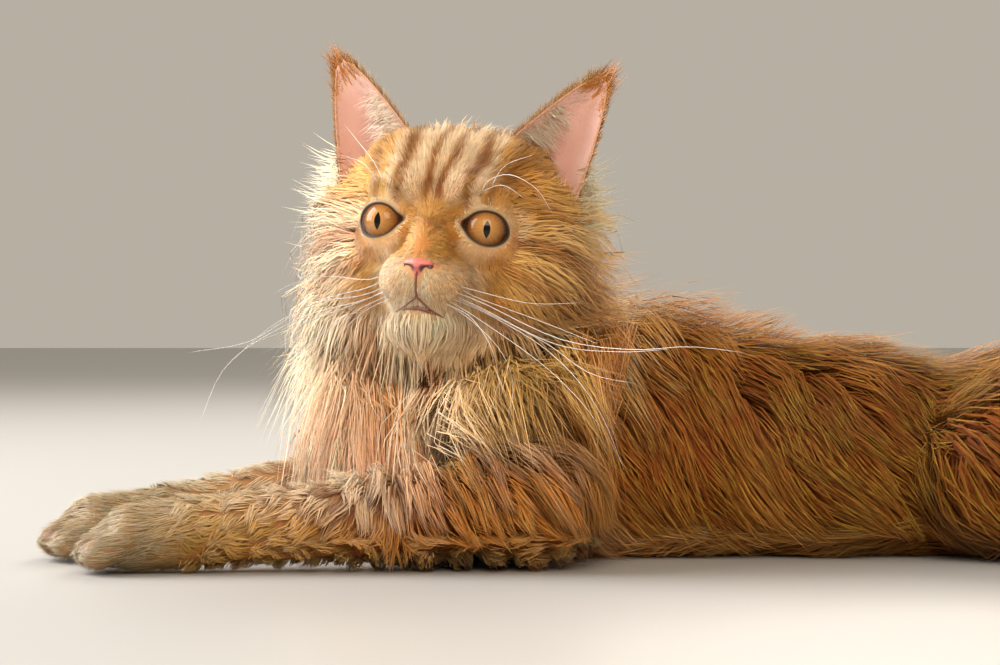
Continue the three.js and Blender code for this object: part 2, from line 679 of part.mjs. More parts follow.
const trunkSet = {
  core: trunkCore, over: bodyCore, flow: trunkFlow, seed: 41,
  axis: new THREE.LineCurve3(point(50, TRUNK_Y, 46), point(260, TRUNK_Y, 40)), reach: 50,
  length: 74, width: 33, thick: 4.4, rise: COAT.trunk * (1 - CORE), bend: 0.45, across: 27, along: 45,
  keep: (p) =>
    p.x > SHOULDER.at[0] + 8 && p.x < 300 && p.z > 22 && Math.min(...thighCores.map((thigh) => thigh(p))) > 4,
};
const thighSet = (leg, seed) => ({
  core: thighCore(leg), over: bodyCore, flow: thighFlow, seed,
  axis: new THREE.LineCurve3(point(...leg.hip), point(...leg.knee)), reach: 40,
  length: 66, width: 34, thick: 4.2, rise: COAT.thigh * (1 - CORE), bend: 0.4, across: 30, along: 46,
  keep: (p) => (p.y - TRUNK_Y) * (leg.hock[1] - TRUNK_Y) > 1500 && p.z > 34 && trunkCore(p) > 5,
});
const forelegSet = (leg, outwards, seed) => ({
  core: melt(6, [upperArm(leg), forearm(leg)]), over: bodyCore, flow: forelegFlow, seed,
  axis: new THREE.LineCurve3(point(...leg.elbow), point(...leg.wrist).lerp(point(...leg.elbow), 0.4)),
  reach: 24,
  length: 40, width: 26, thick: 3.6, rise: COAT.elbow - COAT.foreleg, bend: 0.5, across: 24, along: 32,
  keep: (p) => outwards * (p.y - leg.elbow[1]) > -6 && p.z > 20 && p.x > leg.wrist[0] + 40 &&
    chestCore(p) > 6 && trunkCore(p) > 6,
});

function neck(grow) {
  const whole = wrapAxis(swell(neckCore, grow), [[-18, 76, 88], [-19, 60, 116]], 18, 3, 4);
  const below = inHead(cutAt(whole.transform(headFrameBack.elements), farSide(NAPE)));
  return joined([cutAt(below, THROAT), ...locksOf(neckSet, grow)]);
}
function chest(grow) {
  const whole = wrapAxis(swell(chestCore, grow), [[-40, 80, 52], [8, 86, 52]], 18, 2, 4);
  return joined([cutAt(cutAt(whole, farSide(THROAT)), SHOULDER), ...locksOf(chestSet, grow)]);
}
function trunk(grow) {
  const stations = [[40, TRUNK_Y, 50], [100, TRUNK_Y, 48], [170, TRUNK_Y, 42], [250, TRUNK_Y, 40]];
  const whole = wrapAxis(swell(trunkCore, grow), stations, 18, 2, 4);
  return joined([cutAt(whole, farSide(SHOULDER)), ...locksOf(trunkSet, grow)]);
}
function foreleg(leg, locks, grow) {
  return joined([
    wrapAxis(swell(upperArm(leg), grow), [leg.shoulder, leg.elbow], 10, 1, 2),
    cutAt(wrapAxis(swell(forearm(leg), grow), [leg.elbow, leg.wrist], 12, 3, 2), wristPlane(leg)),
    ...locksOf(locks, grow),
  ]);
}

// A paw is a soft pad of bone and flesh with four toes side by side.
function paw(wrist, toes, depth, grow, rings, sides) {
  const start = point(...wrist);
  const end = point(...toes);
  const along = end.clone().sub(start).setZ(0).normalize();
  const across = point(-along.y, along.x, 0);
  const toeMasses = [-1.5, -0.5, 0.5, 1.5].map((i) => {
    const reach = Math.abs(i) < 1 ? 0 : -4;
    const knuckle = end.clone().addScaledVector(along, reach - 13).addScaledVector(across, i * 7.6).setZ(15);
    const pad = end.clone().addScaledVector(along, reach - 1).addScaledVector(across, i * 8.2).setZ(9);
    return limb(knuckle.toArray(), pad.toArray(), 6.8, 6.6);
  });
  const palm = end.clone().addScaledVector(along, -20).setZ(15);
  const form = melt(4, [limb(wrist, palm.toArray(), legRadius, legRadius + 1.5), ...toeMasses]);
  const middle = end.clone().addScaledVector(along, -12).setZ(13);
  return wrapBall(swell(form, depth + grow), middle, along, point(0, 0, 1), rings, sides, 1.15);
}

function thigh(leg, locks, grow) {
  const middle = point(leg.hip[0] - 2, (leg.hip[1] + leg.hock[1]) / 2, 42);
  const out = point(0, Math.sign(leg.hock[1] - TRUNK_Y), 0);
  const core = wrapBall(swell(thighCore(leg), grow), middle, out, point(0, 0, 1), 7, 14);
  return joined([core, ...locksOf(locks, grow)]);
}
function hindFoot(leg, grow) {
  const heel = [leg.hock[0], leg.hock[1], 14];
  const ball = [leg.toes[0] + 22, leg.toes[1] + (leg.hock[1] - leg.toes[1]) * 0.35, 13];
  const sole = limb(heel, ball, 10.5, 11);
  return joined([
    wrapAxis(swell(sole, COAT.foot + grow), [heel, ball], 10, 1, 2),
    paw(ball, leg.toes, COAT.foot, grow, 8, 14),
  ]);
}

// The tail leaves the rump, comes down to the floor and curls to the cat's left.
const TAIL_ROUTE = [[300, 92], [345, 92], [388, 76], [414, 38], [412, -8], [386, -48]];
const TAIL_ROOT_HEIGHT = 42;
const TAIL_SINK = 1.5;
const tailCoreAt = (t) => {
  const coat = COAT.tail * CORE * (0.6 + 0.4 * Math.sin(Math.PI * Math.min(1, 0.15 + t * 0.9)));
  return (TAIL_THICKNESS / 2) * (1 - 0.4 * t) + coat;
};
const tailPlan = new THREE.CatmullRomCurve3(TAIL_ROUTE.map(([x, y]) => point(x, y, 0)));
const TAIL_STATIONS = 24;
const tailRoute = new THREE.CatmullRomCurve3(
  Array.from({ length: TAIL_STATIONS + 1 }, (_, i) => {
    const t = i / TAIL_STATIONS;
    const height = lerp(TAIL_ROOT_HEIGHT, tailCoreAt(t) - TAIL_SINK, smoothstep(t, 0, 0.32));
    return tailPlan.getPointAt(t).setZ(height);
  }),
);
const tailBalls = Array.from({ length: TAIL_STATIONS + 1 }, (_, i) => ({
  t: i / TAIL_STATIONS,
  at: tailRoute.getPointAt(i / TAIL_STATIONS),
  radius: tailCoreAt(i / TAIL_STATIONS),
  along: tailRoute.getTangentAt(i / TAIL_STATIONS),
}));
const tailCore = melt(1, tailBalls.map(({ at, radius }) => (p) => p.distanceTo(at) - radius));
const nearestBall = (p) => tailBalls.reduce((a, b) => (a.at.distanceTo(p) < b.at.distanceTo(p) ? a : b));
const tailFlow = (p) => {
  const { along } = nearestBall(p);
  return settled(p, along.x, along.y, along.z + 0.05);
};
const tailStretch = (from, to) => {
  const stations = [0, 0.25, 0.5, 0.75, 1].map((s) => lerp(from, to, s));
  return new THREE.CatmullRomCurve3(stations.map((t) => tailRoute.getPointAt(t)));
};
const tailSet = (from, to, seed) => ({
  core: tailCore, flow: tailFlow, seed,
  axis: tailStretch(from, to), reach: 1,
  length: 52, width: 24, thick: 4, rise: COAT.tail * (1 - CORE), bend: 0.2, across: 22, along: 34,
  keep: (p) => p.z > 21 && p.x > 330 && Math.abs(nearestBall(p).t - (from + to) / 2) < (to - from) / 2 + 0.02,
});
const TAIL_PARTS = [
  { name: "tail_base", from: 0, to: 0.34, locks: tailSet(0.1, 0.24, 61) },
  { name: "tail_middle", from: 0.34, to: 0.68, locks: tailSet(0.35, 0.58, 62) },
  { name: "tail_tip", from: 0.68, to: 1, locks: tailSet(0.7, 0.88, 63) },
];
function tailLength(part, grow) {
  const ROWS = 4;
  const SIDES = 12;
  const gap = GAP / tailRoute.getLength();
  const ring = (t, share) => {
    const centre = tailRoute.getPointAt(t);
    const along = tailRoute.getTangentAt(t);
    const side = along.clone().cross(point(0, 0, 1)).normalize();
    const top = side.clone().cross(along);
    const radius = (tailCoreAt(t) + grow) * share;
    return Array.from({ length: SIDES }, (_, s) => {
      const turn = (2 * Math.PI * s) / SIDES;
      return centre
        .clone()
        .addScaledVector(side, radius * Math.cos(turn))
        .addScaledVector(top, radius * Math.sin(turn));
    });
  };
  const start = part.from;
  const isTip = part.to === 1;
  const rings = [];
  for (let r = 0; r <= ROWS; r++) {
    const t = lerp(start, part.to - (isTip ? 0 : gap), r / ROWS);
    rings.push(ring(t, isTip ? Math.sqrt(Math.max(0.05, 1 - Math.pow(r / ROWS, 3))) : 1));
  }
  const end = tailRoute.getPointAt(part.to - (isTip ? 0 : gap));
  if (isTip) end.addScaledVector(tailRoute.getTangentAt(1), 12);
  const core = solidFromRings(tailRoute.getPointAt(start), rings, end);
  return joined([core, ...locksOf(part.locks, grow)]);
}

// The parts in order, with their main colours.
const CREAM = 0xe9c9a0;
const BUFF = 0xdca768;
const ORANGE = 0xc9803f;
const forelegLocks = { left: forelegSet(FORELEG.left, -1, 51), right: forelegSet(FORELEG.right, -1, 52) };
const thighLocks = { left: thighSet(HIND.left, 53), right: thighSet(HIND.right, 54) };
const foreLimb = (side) => [
  {
    name: `forepaw_${side}`,
    make: (grow) => {
      const whole = paw(FORELEG[side].wrist, FORELEG[side].toes, COAT.paw, grow, 11, 18);
      return cutAt(whole, farSide(wristPlane(FORELEG[side])));
    },
    color: CREAM,
  },
  { name: `foreleg_${side}`, make: (grow) => foreleg(FORELEG[side], forelegLocks[side], grow), color: BUFF },
];
const hindLimb = (side) => [
  { name: `thigh_${side}`, make: (grow) => thigh(HIND[side], thighLocks[side], grow), color: ORANGE },
  { name: `hind_foot_${side}`, make: (grow) => hindFoot(HIND[side], grow), color: CREAM },
];

const tailPart = (part) => ({ name: part.name, make: (grow) => tailLength(part, grow), color: ORANGE });
const parts = [
  tailPart(TAIL_PARTS[2]),
  tailPart(TAIL_PARTS[1]),
  { name: "trunk", make: trunk, color: ORANGE },
  tailPart(TAIL_PARTS[0]),
  { name: "chest", make: chest, color: BUFF },
  { name: "neck", make: neck, color: BUFF },
  { name: "eye_left", make: (grow) => eye(LEFT, grow), color: 0xb5762a, roughness: 0.1 },
  { name: "eye_right", make: (grow) => eye(RIGHT, grow), color: 0xb5762a, roughness: 0.1 },
  { name: "nose", make: nose, color: 0xd9736a, roughness: 0.5 },
  { name: "head", make: head, color: BUFF },
  { name: "ear_left", make: (grow) => ear(LEFT, grow), color: 0xe0a98e },
  { name: "ear_right", make: (grow) => ear(RIGHT, grow), color: 0xe0a98e },
  ...foreLimb("left"),
  ...foreLimb("right"),
  ...hindLimb("left"),
  ...hindLimb("right"),
];

// The floor takes what would reach below it, which leaves the small flats that the cat rests on.
const floor = solidFromGeometry(new THREE.BoxGeometry(1400, 1000, 200).translate(100, 0, -100));

// Earlier parts keep their whole shape, and later ones are cut clear of them.
const solids = parts.map((part, i) => {
  let solid = part.make(0);
  for (const earlier of parts.slice(0, i)) solid = solid.subtract((earlier.grown ??= earlier.make(GAP)));
  return largest(solid.subtract(floor));
});

// One named mesh for each part, about a frame with its origin on the floor under the middle.
const cat = new THREE.Group();
parts.forEach((part, i) => {
  const surface = solids[i].getMesh();
  const geometry = new THREE.BufferGeometry();
  geometry.setAttribute("position", new THREE.BufferAttribute(new Float32Array(surface.vertProperties), 3));
  geometry.setIndex(new THREE.BufferAttribute(new Uint32Array(surface.triVerts), 1));
  geometry.computeVertexNormals();
  const roughness = part.roughness ?? 0.9;
  const material = new THREE.MeshStandardMaterial({ color: part.color, roughness, metalness: 0 });
  const mesh = new THREE.Mesh(geometry, material);
  mesh.name = part.name;
  cat.add(mesh);
});
const bounds = new THREE.Box3().setFromObject(cat);
const middle = bounds.getCenter(point(0, 0, 0));
cat.position.set(-middle.x, -middle.y, -bounds.min.z);

export default cat;
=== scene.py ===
import math

import bpy
import numpy as np
from mathutils import Euler, Matrix, Vector
from mathutils.kdtree import KDTree


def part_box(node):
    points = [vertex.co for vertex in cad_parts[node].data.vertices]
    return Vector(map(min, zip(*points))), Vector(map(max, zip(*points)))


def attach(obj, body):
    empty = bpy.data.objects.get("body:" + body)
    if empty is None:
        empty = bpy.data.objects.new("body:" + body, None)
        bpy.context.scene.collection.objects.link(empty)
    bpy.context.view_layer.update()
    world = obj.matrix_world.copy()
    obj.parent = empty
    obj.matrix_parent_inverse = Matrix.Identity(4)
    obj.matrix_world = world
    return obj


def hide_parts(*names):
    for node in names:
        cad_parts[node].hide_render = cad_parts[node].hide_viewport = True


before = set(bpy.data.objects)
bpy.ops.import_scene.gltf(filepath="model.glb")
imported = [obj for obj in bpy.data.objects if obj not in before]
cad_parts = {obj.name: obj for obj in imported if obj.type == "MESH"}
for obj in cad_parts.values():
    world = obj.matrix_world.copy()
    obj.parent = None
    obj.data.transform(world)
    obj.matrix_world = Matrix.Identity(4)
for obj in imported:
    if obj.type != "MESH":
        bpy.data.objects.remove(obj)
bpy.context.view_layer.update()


# Camera. It stands in front of the cat, a little above its chest, and looks along +Y.
# Lengths here and below are in millimetres in the cat's own frame, whose place in the
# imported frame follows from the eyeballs, which are known in both.
HEAD_AT = (-29.4, 0.0, 150.8)
HEAD_TURN = Euler((0.0, math.radians(4.8), 0.0)).to_matrix()
HEAD_TURN = Euler((0.0, 0.0, math.radians(-12.0))).to_matrix() @ HEAD_TURN
EYE_SPACING = 43.6
EYE_BACK = 7.0
EYE_RADIUS = 11.5
CAMERA_AT = (0.0, -1027.0, 114.0)
CAMERA_PITCH_DEG = 0.546
MM = 0.001
LENS_MM = 85
SENSOR_MM = 36
CLIP_M = (0.05, 20)

eye_middles = [(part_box(name)[0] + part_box(name)[1]) / 2 for name in ("eye_left", "eye_right")]
between_eyes = (eye_middles[0] + eye_middles[1]) / 2 / MM
shift = between_eyes - HEAD_TURN @ Vector((0.0, EYE_BACK, 0.0)) - Vector(HEAD_AT)
to_frame = Matrix.Scale(MM, 4) @ Matrix.Translation(shift)

bpy.ops.object.camera_add(
    location=to_frame @ Vector(CAMERA_AT),
    rotation=(math.radians(90 - CAMERA_PITCH_DEG), 0, 0),
)
camera = bpy.context.object
camera.data.lens = LENS_MM
camera.data.sensor_width = SENSOR_MM
camera.data.clip_start, camera.data.clip_end = CLIP_M
bpy.context.scene.camera = camera


# Flesh of the whole cat: masses of muscle and bone that melt into one another, as signed
# distances. The same masses shape the solids, and the coat's depth is added to them there.
def smoothstep(x, low, high):
    t = np.clip((x - low) / (high - low), 0, 1)
    return t * t * (3 - 2 * t)


def lerp(a, b, t):
    return a + (b - a) * t


class Form:
    """A mass of flesh: how far points are from it, and the balls that fill it."""

    def __init__(self, distance, balls):
        self.distance = distance
        self.balls = balls


def ellipsoid(x, y, z, rx, ry, rz):
    centre = np.array((x, y, z), np.float32)
    radii = np.array((rx, ry, rz), np.float32)

    def distance(p):
        q = (p - centre) / radii
        k = np.sqrt((q * q).sum(-1))
        q = q / radii
        return k * (k - 1) / np.maximum(np.sqrt((q * q).sum(-1)), 1e-6)

    return Form(distance, [Matrix.LocRotScale(Vector((x, y, z)), None, Vector((rx, ry, rz)))])


def limb(a, b, start_radius, end_radius):
    start = np.array(a, np.float32)
    axis = np.array(b, np.float32) - start
    span = float(axis @ axis)

    def distance(p):
        q = p - start
        h = np.clip(q @ axis / span, 0, 1)
        q = q - h[..., None] * axis
        return np.sqrt((q * q).sum(-1)) - (start_radius + (end_radius - start_radius) * h)

    steps = max(2, int(math.sqrt(span) / (0.5 * min(start_radius, end_radius))))
    balls = []
    for i in range(steps + 1):
        radius = lerp(start_radius, end_radius, i / steps)
        at = Vector(start + axis * (i / steps))
        balls.append(Matrix.LocRotScale(at, None, Vector((radius,) * 3)))
    return Form(distance, balls)


def melt(softness, forms):
    def distance(p):
        nearest = forms[0].distance(p)
        for form in forms[1:]:
            d = form.distance(p)
            h = np.maximum(softness - np.abs(nearest - d), 0) / softness
            nearest = np.minimum(nearest, d) - h * h * (softness / 4)
        return nearest

    return Form(distance, [ball for form in forms for ball in form.balls])


def carve(form, hollow, softness):
    def distance(p):
        a = form.distance(p)
        b = -hollow.distance(p)
        h = np.maximum(softness - np.abs(a - b), 0) / softness
        return np.maximum(a, b) + h * h * (softness / 4)

    return Form(distance, form.balls)


head_axes = np.array(HEAD_TURN, np.float32)
head_at = np.array(HEAD_AT, np.float32)
head_place = Matrix.Translation(Vector(HEAD_AT)) @ HEAD_TURN.to_4x4()


def to_head(p):
    return (p - head_at) @ head_axes


def from_head(p):
    return p @ head_axes.T + head_at


def in_head(form):
    return Form(lambda p: form.distance(to_head(p)), [head_place @ ball for ball in form.balls])


# The cat's left is on the +X side of its head.
SIDES = (1, -1)
SIDE_NAMES = {1: "left", -1: "right"}
EYE_PROUD = 6.0
EYE_SPLAY = math.radians(20)
eye_axes = {s: np.array((s * math.sin(EYE_SPLAY), -math.cos(EYE_SPLAY), 0)) for s in SIDES}
eye_centres = {s: np.array((s * EYE_SPACING / 2, EYE_BACK, 0)) for s in SIDES}
MUZZLE_LENGTH = 20.0
skull_masses = [
    ellipsoid(0, 42, 4, 40, 44, 36),
    ellipsoid(0, 2, -22, 18, 20, 13),
    limb((0, 2, 4), (0, 7 - MUZZLE_LENGTH, -14), 9, 6.5),
    ellipsoid(0, 20, -34, 21, 28, 13),
    ellipsoid(0, -5, -39, 10.5, 11, 7.5),
]
for s in SIDES:
    skull_masses += [
        ellipsoid(s * 25, 28, -17, 22, 24, 20),
        ellipsoid(s * 16, 9, 15, 15, 14, 9),
        ellipsoid(s * 23, 38, 24, 17, 20, 15),
        ellipsoid(s * 8.5, -9.5, -25, 9.5, 10.5, 8),
    ]
skull = melt(9, skull_masses)
DISH = 18.0
for s in SIDES:
    dish_at = eye_centres[s] + eye_axes[s] * (EYE_PROUD + DISH)
    skull = carve(skull, ellipsoid(*dish_at, DISH, DISH, DISH * 0.85), 5)

CHEST_Y = 88.0
TRUNK_Y = 92.0
neck_form = melt(16, [limb((-12, 82, 84), (-17, 56, 120), 40, 34), ellipsoid(-22, 54, 112, 44, 34, 32)])
chest_form = melt(18, [
    ellipsoid(-22, CHEST_Y - 8, 54, 56, 44, 54),
    ellipsoid(10, CHEST_Y - 30, 62, 36, 22, 44),
    ellipsoid(10, CHEST_Y + 30, 62, 36, 22, 44),
])
trunk_form = melt(24, [
    ellipsoid(62, TRUNK_Y, 52, 74, 46, 52),
    ellipsoid(150, TRUNK_Y, 46, 74, 46, 46),
    ellipsoid(245, TRUNK_Y, 42, 62, 49, 42),
])

WRIST_RADIUS = 13.0
FORELEGS = {
    "left": {
        "shoulder": (-10, 52, 66), "elbow": (16, 12, 27), "wrist": (-136, -2, 17), "toes": (-178, -3, 12),
    },
    "right": {
        "shoulder": (-20, 112, 70), "elbow": (-32, 106, 37), "wrist": (-156, 58, 18), "toes": (-203, 44, 12),
    },
}
HIND_LEGS = {
    "left": {"hip": (262, 68, 48), "knee": (226, 44, 42), "hock": (304, 32, 20), "toes": (246, 22, 10)},
    "right": {"hip": (262, 116, 48), "knee": (226, 140, 42), "hock": (304, 152, 20), "toes": (246, 162, 10)},
}
TOE_PLACES = (-1.5, -0.5, 0.5, 1.5)
TOE_SPACING = 8.2
KNUCKLE_SPACING = 7.6
KNUCKLE_BACK = 13.0
KNUCKLE_HEIGHT = 15.0
OUTER_TOES_BACK = 4.0
PAD_HEIGHT = 9.0
PALM_BACK = 20.0


def paw_form(wrist, toes):
    end = np.array(toes, float)
    along = end - np.array(wrist, float)
    along[2] = 0
    along /= np.linalg.norm(along)
    across = np.array((-along[1], along[0], 0))
    palm = end - along * PALM_BACK
    palm[2] = KNUCKLE_HEIGHT
    masses = [limb(wrist, palm, WRIST_RADIUS, WRIST_RADIUS + 1.5)]
    for place in TOE_PLACES:
        back = OUTER_TOES_BACK if abs(place) > 1 else 0.0
        knuckle = end - along * (back + KNUCKLE_BACK) + across * place * KNUCKLE_SPACING
        pad = end - along * (back + 1) + across * place * TOE_SPACING
        knuckle[2] = KNUCKLE_HEIGHT
        pad[2] = PAD_HEIGHT
        masses.append(limb(knuckle, pad, 6.8, 6.6))
    return melt(2.5, masses)


def forepaw_form(leg):
    return paw_form(leg["wrist"], leg["toes"])


def foreleg_form(leg):
    upper = limb(leg["shoulder"], leg["elbow"], 21, 19)
    return melt(6, [upper, limb(leg["elbow"], leg["wrist"], 19, WRIST_RADIUS)])


def thigh_form(leg):
    hip, knee, hock = (leg[name] for name in ("hip", "knee", "hock"))
    side = ellipsoid(hip[0] + 4, (hip[1] + hock[1]) / 2, 44, 42, 26, 36)
    return melt(14, [limb(hip, knee, 34, 24), limb(knee, hock, 22, 12), side])


def hind_foot_form(leg):
    hock, toes = leg["hock"], leg["toes"]
    heel = (hock[0], hock[1], 14)
    ball = (toes[0] + 22, toes[1] + (hock[1] - toes[1]) * 0.35, 13)
    return melt(4, [limb(heel, ball, 10.5, 11), paw_form(ball, toes)])


TAIL_PLAN = ((300, 92), (345, 92), (388, 76), (414, 38), (412, -8), (386, -48))
TAIL_THICKNESS = 24.0
TAIL_TAPER = 0.4
TAIL_COAT = 26.0
CORE_SHARE = 0.42
TAIL_ROOT_HEIGHT = 42.0
TAIL_DOWN_BY = 0.32
TAIL_PRESSED = 1.5
TAIL_STATIONS = 25
LINE_STEPS = 40


def smooth_line(points, count):
    """Points spread evenly along a smooth line through the given ones."""
    points = np.array(points, float)
    padded = np.vstack([2 * points[0] - points[1], points, 2 * points[-1] - points[-2]])
    dense = []
    for i in range(len(points) - 1):
        a, b, c, d = padded[i:i + 4]
        t = np.linspace(0, 1, LINE_STEPS, endpoint=i == len(points) - 2)[:, None]
        dense.append(0.5 * (2 * b + (c - a) * t + (2 * a - 5 * b + 4 * c - d) * t**2
                            + (3 * b - a - 3 * c + d) * t**3))
    dense = np.vstack(dense)
    run = np.concatenate([[0], np.cumsum(np.linalg.norm(np.diff(dense, axis=0), axis=1))])
    return np.stack([np.interp(np.linspace(0, run[-1], count), run, dense[:, k])
                     for k in range(dense.shape[1])], 1)


tail_share = np.linspace(0, 1, TAIL_STATIONS)
tail_radius = TAIL_THICKNESS / 2 * (1 - TAIL_TAPER * tail_share)
tail_coat = TAIL_COAT * CORE_SHARE * (0.6 + 0.4 * np.sin(math.pi * np.minimum(1, 0.15 + tail_share * 0.9)))
tail_lying = tail_radius + tail_coat - TAIL_PRESSED
tail_height = lerp(TAIL_ROOT_HEIGHT, tail_lying, smoothstep(tail_share, 0, TAIL_DOWN_BY))
tail_line = np.column_stack([smooth_line(TAIL_PLAN, TAIL_STATIONS), tail_height])
tail_along = np.gradient(tail_line, axis=0)
tail_along /= np.linalg.norm(tail_along, axis=1)[:, None]
tail_form = melt(2, [limb(tail_line[i], tail_line[i + 2], tail_radius[i], tail_radius[i + 2])
                     for i in range(0, TAIL_STATIONS - 2, 2)])

LEG_FORMS = (
    ("foreleg", FORELEGS, foreleg_form), ("forepaw", FORELEGS, forepaw_form),
    ("thigh", HIND_LEGS, thigh_form), ("hind_foot", HIND_LEGS, hind_foot_form),
)
body_parts = {"head": in_head(skull), "neck": neck_form, "chest": chest_form, "trunk": trunk_form}
for part, legs, leg_form in LEG_FORMS:
    for side_name, leg in legs.items():
        body_parts[f"{part}_{side_name}"] = leg_form(leg)
body_parts["tail"] = tail_form
flesh = melt(7, list(body_parts.values()))
SLOPE_STEP = 0.4
DRAWN_SHARE = 0.9
BALL_DETAIL = 3
SMOOTHING_ROUNDS = 3


def outward(distance, p):
    """The way straight out of a form, from its distances at four places round each point."""
    tips = np.array(((1, 1, 1), (1, -1, -1), (-1, 1, -1), (-1, -1, 1)), np.float32)
    slope = sum(tip * distance(p + tip * SLOPE_STEP)[..., None] for tip in tips)
    return slope / np.maximum(np.linalg.norm(slope, axis=-1, keepdims=True), 1e-9)


def project(distance, p, rounds):
    """Points drawn onto a form's surface, most of the way in each round."""
    for _ in range(rounds):
        p = p - DRAWN_SHARE * distance(p)[..., None] * outward(distance, p)
    return p


def select_only(pieces, active):
    bpy.ops.object.select_all(action="DESELECT")
    for piece in pieces:
        piece.select_set(True)
    bpy.context.view_layer.objects.active = active


def joined_balls(balls):
    """One object that joins a sphere for each ball, still in millimetres."""
    bpy.ops.object.select_all(action="DESELECT")
    made = []
    for ball in balls:
        bpy.ops.mesh.primitive_ico_sphere_add(subdivisions=BALL_DETAIL, radius=1)
        bpy.context.object.data.transform(ball)
        made.append(bpy.context.object)
    select_only(made, made[0])
    bpy.ops.object.join()
    return bpy.context.object


def read_values(collection, key, width, kind):
    """A property of every item of a mesh, one row for each item."""
    values = np.empty(len(collection) * width, kind)
    collection.foreach_get(key, values)
    return values.reshape(-1, width)


def points_of(mesh):
    return read_values(mesh.vertices, "co", 3, np.float32)


def set_points(mesh, points):
    mesh.vertices.foreach_set("co", np.ascontiguousarray(points, np.float32).ravel())
    mesh.update()


def apply_modifier(piece, kind, **settings):
    modifier = piece.modifiers.new(kind.lower(), kind)
    for key, value in settings.items():
        setattr(modifier, key, value)
    bpy.ops.object.modifier_apply(modifier=modifier.name)


def sculpted(name, form, voxel, rounds):
    """The balls of a form joined, remeshed and drawn onto the form's melted surface."""
    piece = joined_balls(form.balls)
    piece.name = name
    apply_modifier(piece, "REMESH", mode="VOXEL", voxel_size=voxel)
    apply_modifier(piece, "SMOOTH", iterations=SMOOTHING_ROUNDS)
    set_points(piece.data, project(form.distance, points_of(piece.data), rounds))
    bpy.ops.object.shade_smooth()
    return piece


def to_metres(mesh):
    mesh.transform(to_frame)


# Skin. One hide covers the whole cat under its coat. It rests on the floor along the belly,
# the forearms and the feet.
SKIN_VOXEL = 2.6
FLOOR_CLEARANCE = 0.8
skin = sculpted("skin", flesh, SKIN_VOXEL, rounds=5)
resting = points_of(skin.data)
resting[:, 2] = np.maximum(resting[:, 2], FLOOR_CLEARANCE)
set_points(skin.data, resting)


# Ears. Each is a thin curved cup of skin, open to the front and side, pink and bare inside.
EAR_HEIGHT = 62.0
EAR_INNER_ROOT = np.array((17.0, 36.0, 34.0))
EAR_OUTER_ROOT = np.array((51.0, 40.0, 3.0))
EAR_TIP = np.array((62.0, 50.0, 73.0))
EAR_WALL = 1.3
EAR_CUP = 15.0
EAR_TAPER = 0.66
EAR_BLUNTNESS = 0.02
CUP_TAPER = 0.8
EAR_FROM, EAR_TO = -0.16, 0.985
EAR_ROWS = 26
EAR_COLUMNS = 25
UV_ANGLE = math.radians(66)
UV_MARGIN = 0.002
ear_root = (EAR_INNER_ROOT + EAR_OUTER_ROOT) / 2
ear_rise = (EAR_TIP - ear_root) / np.linalg.norm(EAR_TIP - ear_root) * EAR_HEIGHT
ear_across = EAR_OUTER_ROOT - EAR_INNER_ROOT
ear_back = np.cross(ear_across, ear_rise)
ear_back *= np.sign(ear_back[1]) / np.linalg.norm(ear_back)


def on_cup(t, s):
    """A point of the left ear's cup, t up from its root and s across from -1 to 1."""
    t, s = np.asarray(t, float)[..., None], np.asarray(s, float)[..., None]
    up = np.maximum(t, 0)
    half = 0.5 * ((1 - up) ** EAR_TAPER + EAR_BLUNTNESS)
    hollow = (1 - s * s) * EAR_CUP * (1 - up) ** CUP_TAPER * (1 + 0.2 * up)
    return ear_root + ear_rise * t + ear_across * (s * half) + ear_back * hollow


def ear_points(side, shift_back):
    rows, columns = np.linspace(EAR_FROM, EAR_TO, EAR_ROWS), np.linspace(-1, 1, EAR_COLUMNS)
    t, s = np.meshgrid(rows, columns, indexing="ij")
    return (on_cup(t, s) + ear_back * shift_back) * (side, 1, 1)


def add_mesh(name, points, faces):
    mesh = bpy.data.meshes.new(name)
    mesh.from_pydata([tuple(p) for p in points], [], faces)
    mesh.validate()
    piece = bpy.data.objects.new(name, mesh)
    bpy.context.collection.objects.link(piece)
    return piece


def ear_cup(side):
    walls = [ear_points(side, shift_back).reshape(-1, 3) for shift_back in (EAR_WALL / 2, -EAR_WALL / 2)]
    points = from_head(np.concatenate(walls).astype(np.float32))
    count = EAR_ROWS * EAR_COLUMNS

    def at(row, column, wall):
        return row * EAR_COLUMNS + column + wall * count

    faces = []
    for r in range(EAR_ROWS - 1):
        for c in range(EAR_COLUMNS - 1):
            faces.append((at(r, c, 0), at(r, c + 1, 0), at(r + 1, c + 1, 0), at(r + 1, c, 0)))
            faces.append((at(r, c, 1), at(r + 1, c, 1), at(r + 1, c + 1, 1), at(r, c + 1, 1)))
        for c in (0, EAR_COLUMNS - 1):
            faces.append((at(r, c, 0), at(r + 1, c, 0), at(r + 1, c, 1), at(r, c, 1)))
    for r in (0, EAR_ROWS - 1):
        for c in range(EAR_COLUMNS - 1):
            faces.append((at(r, c, 0), at(r, c + 1, 0), at(r, c + 1, 1), at(r, c, 1)))
    return add_mesh("ear_cup", points, faces)


def recalculate_normals(piece):
    select_only([piece], piece)
    bpy.ops.object.mode_set(mode="EDIT")
    bpy.ops.mesh.select_all(action="SELECT")
    bpy.ops.mesh.normals_make_consistent(inside=False)
    bpy.ops.object.mode_set(mode="OBJECT")


skin_faces = len(skin.data.polygons)
ears = [ear_cup(side) for side in SIDES]
for ear in ears:
    recalculate_normals(ear)
select_only([*ears, skin], skin)
bpy.ops.object.join()
bpy.ops.object.shade_smooth()
skin.data.uv_layers.new(name="OFBake")
bpy.ops.object.mode_set(mode="EDIT")
bpy.ops.mesh.select_all(action="SELECT")
bpy.ops.uv.smart_project(angle_limit=UV_ANGLE, island_margin=UV_MARGIN)
bpy.ops.object.mode_set(mode="OBJECT")


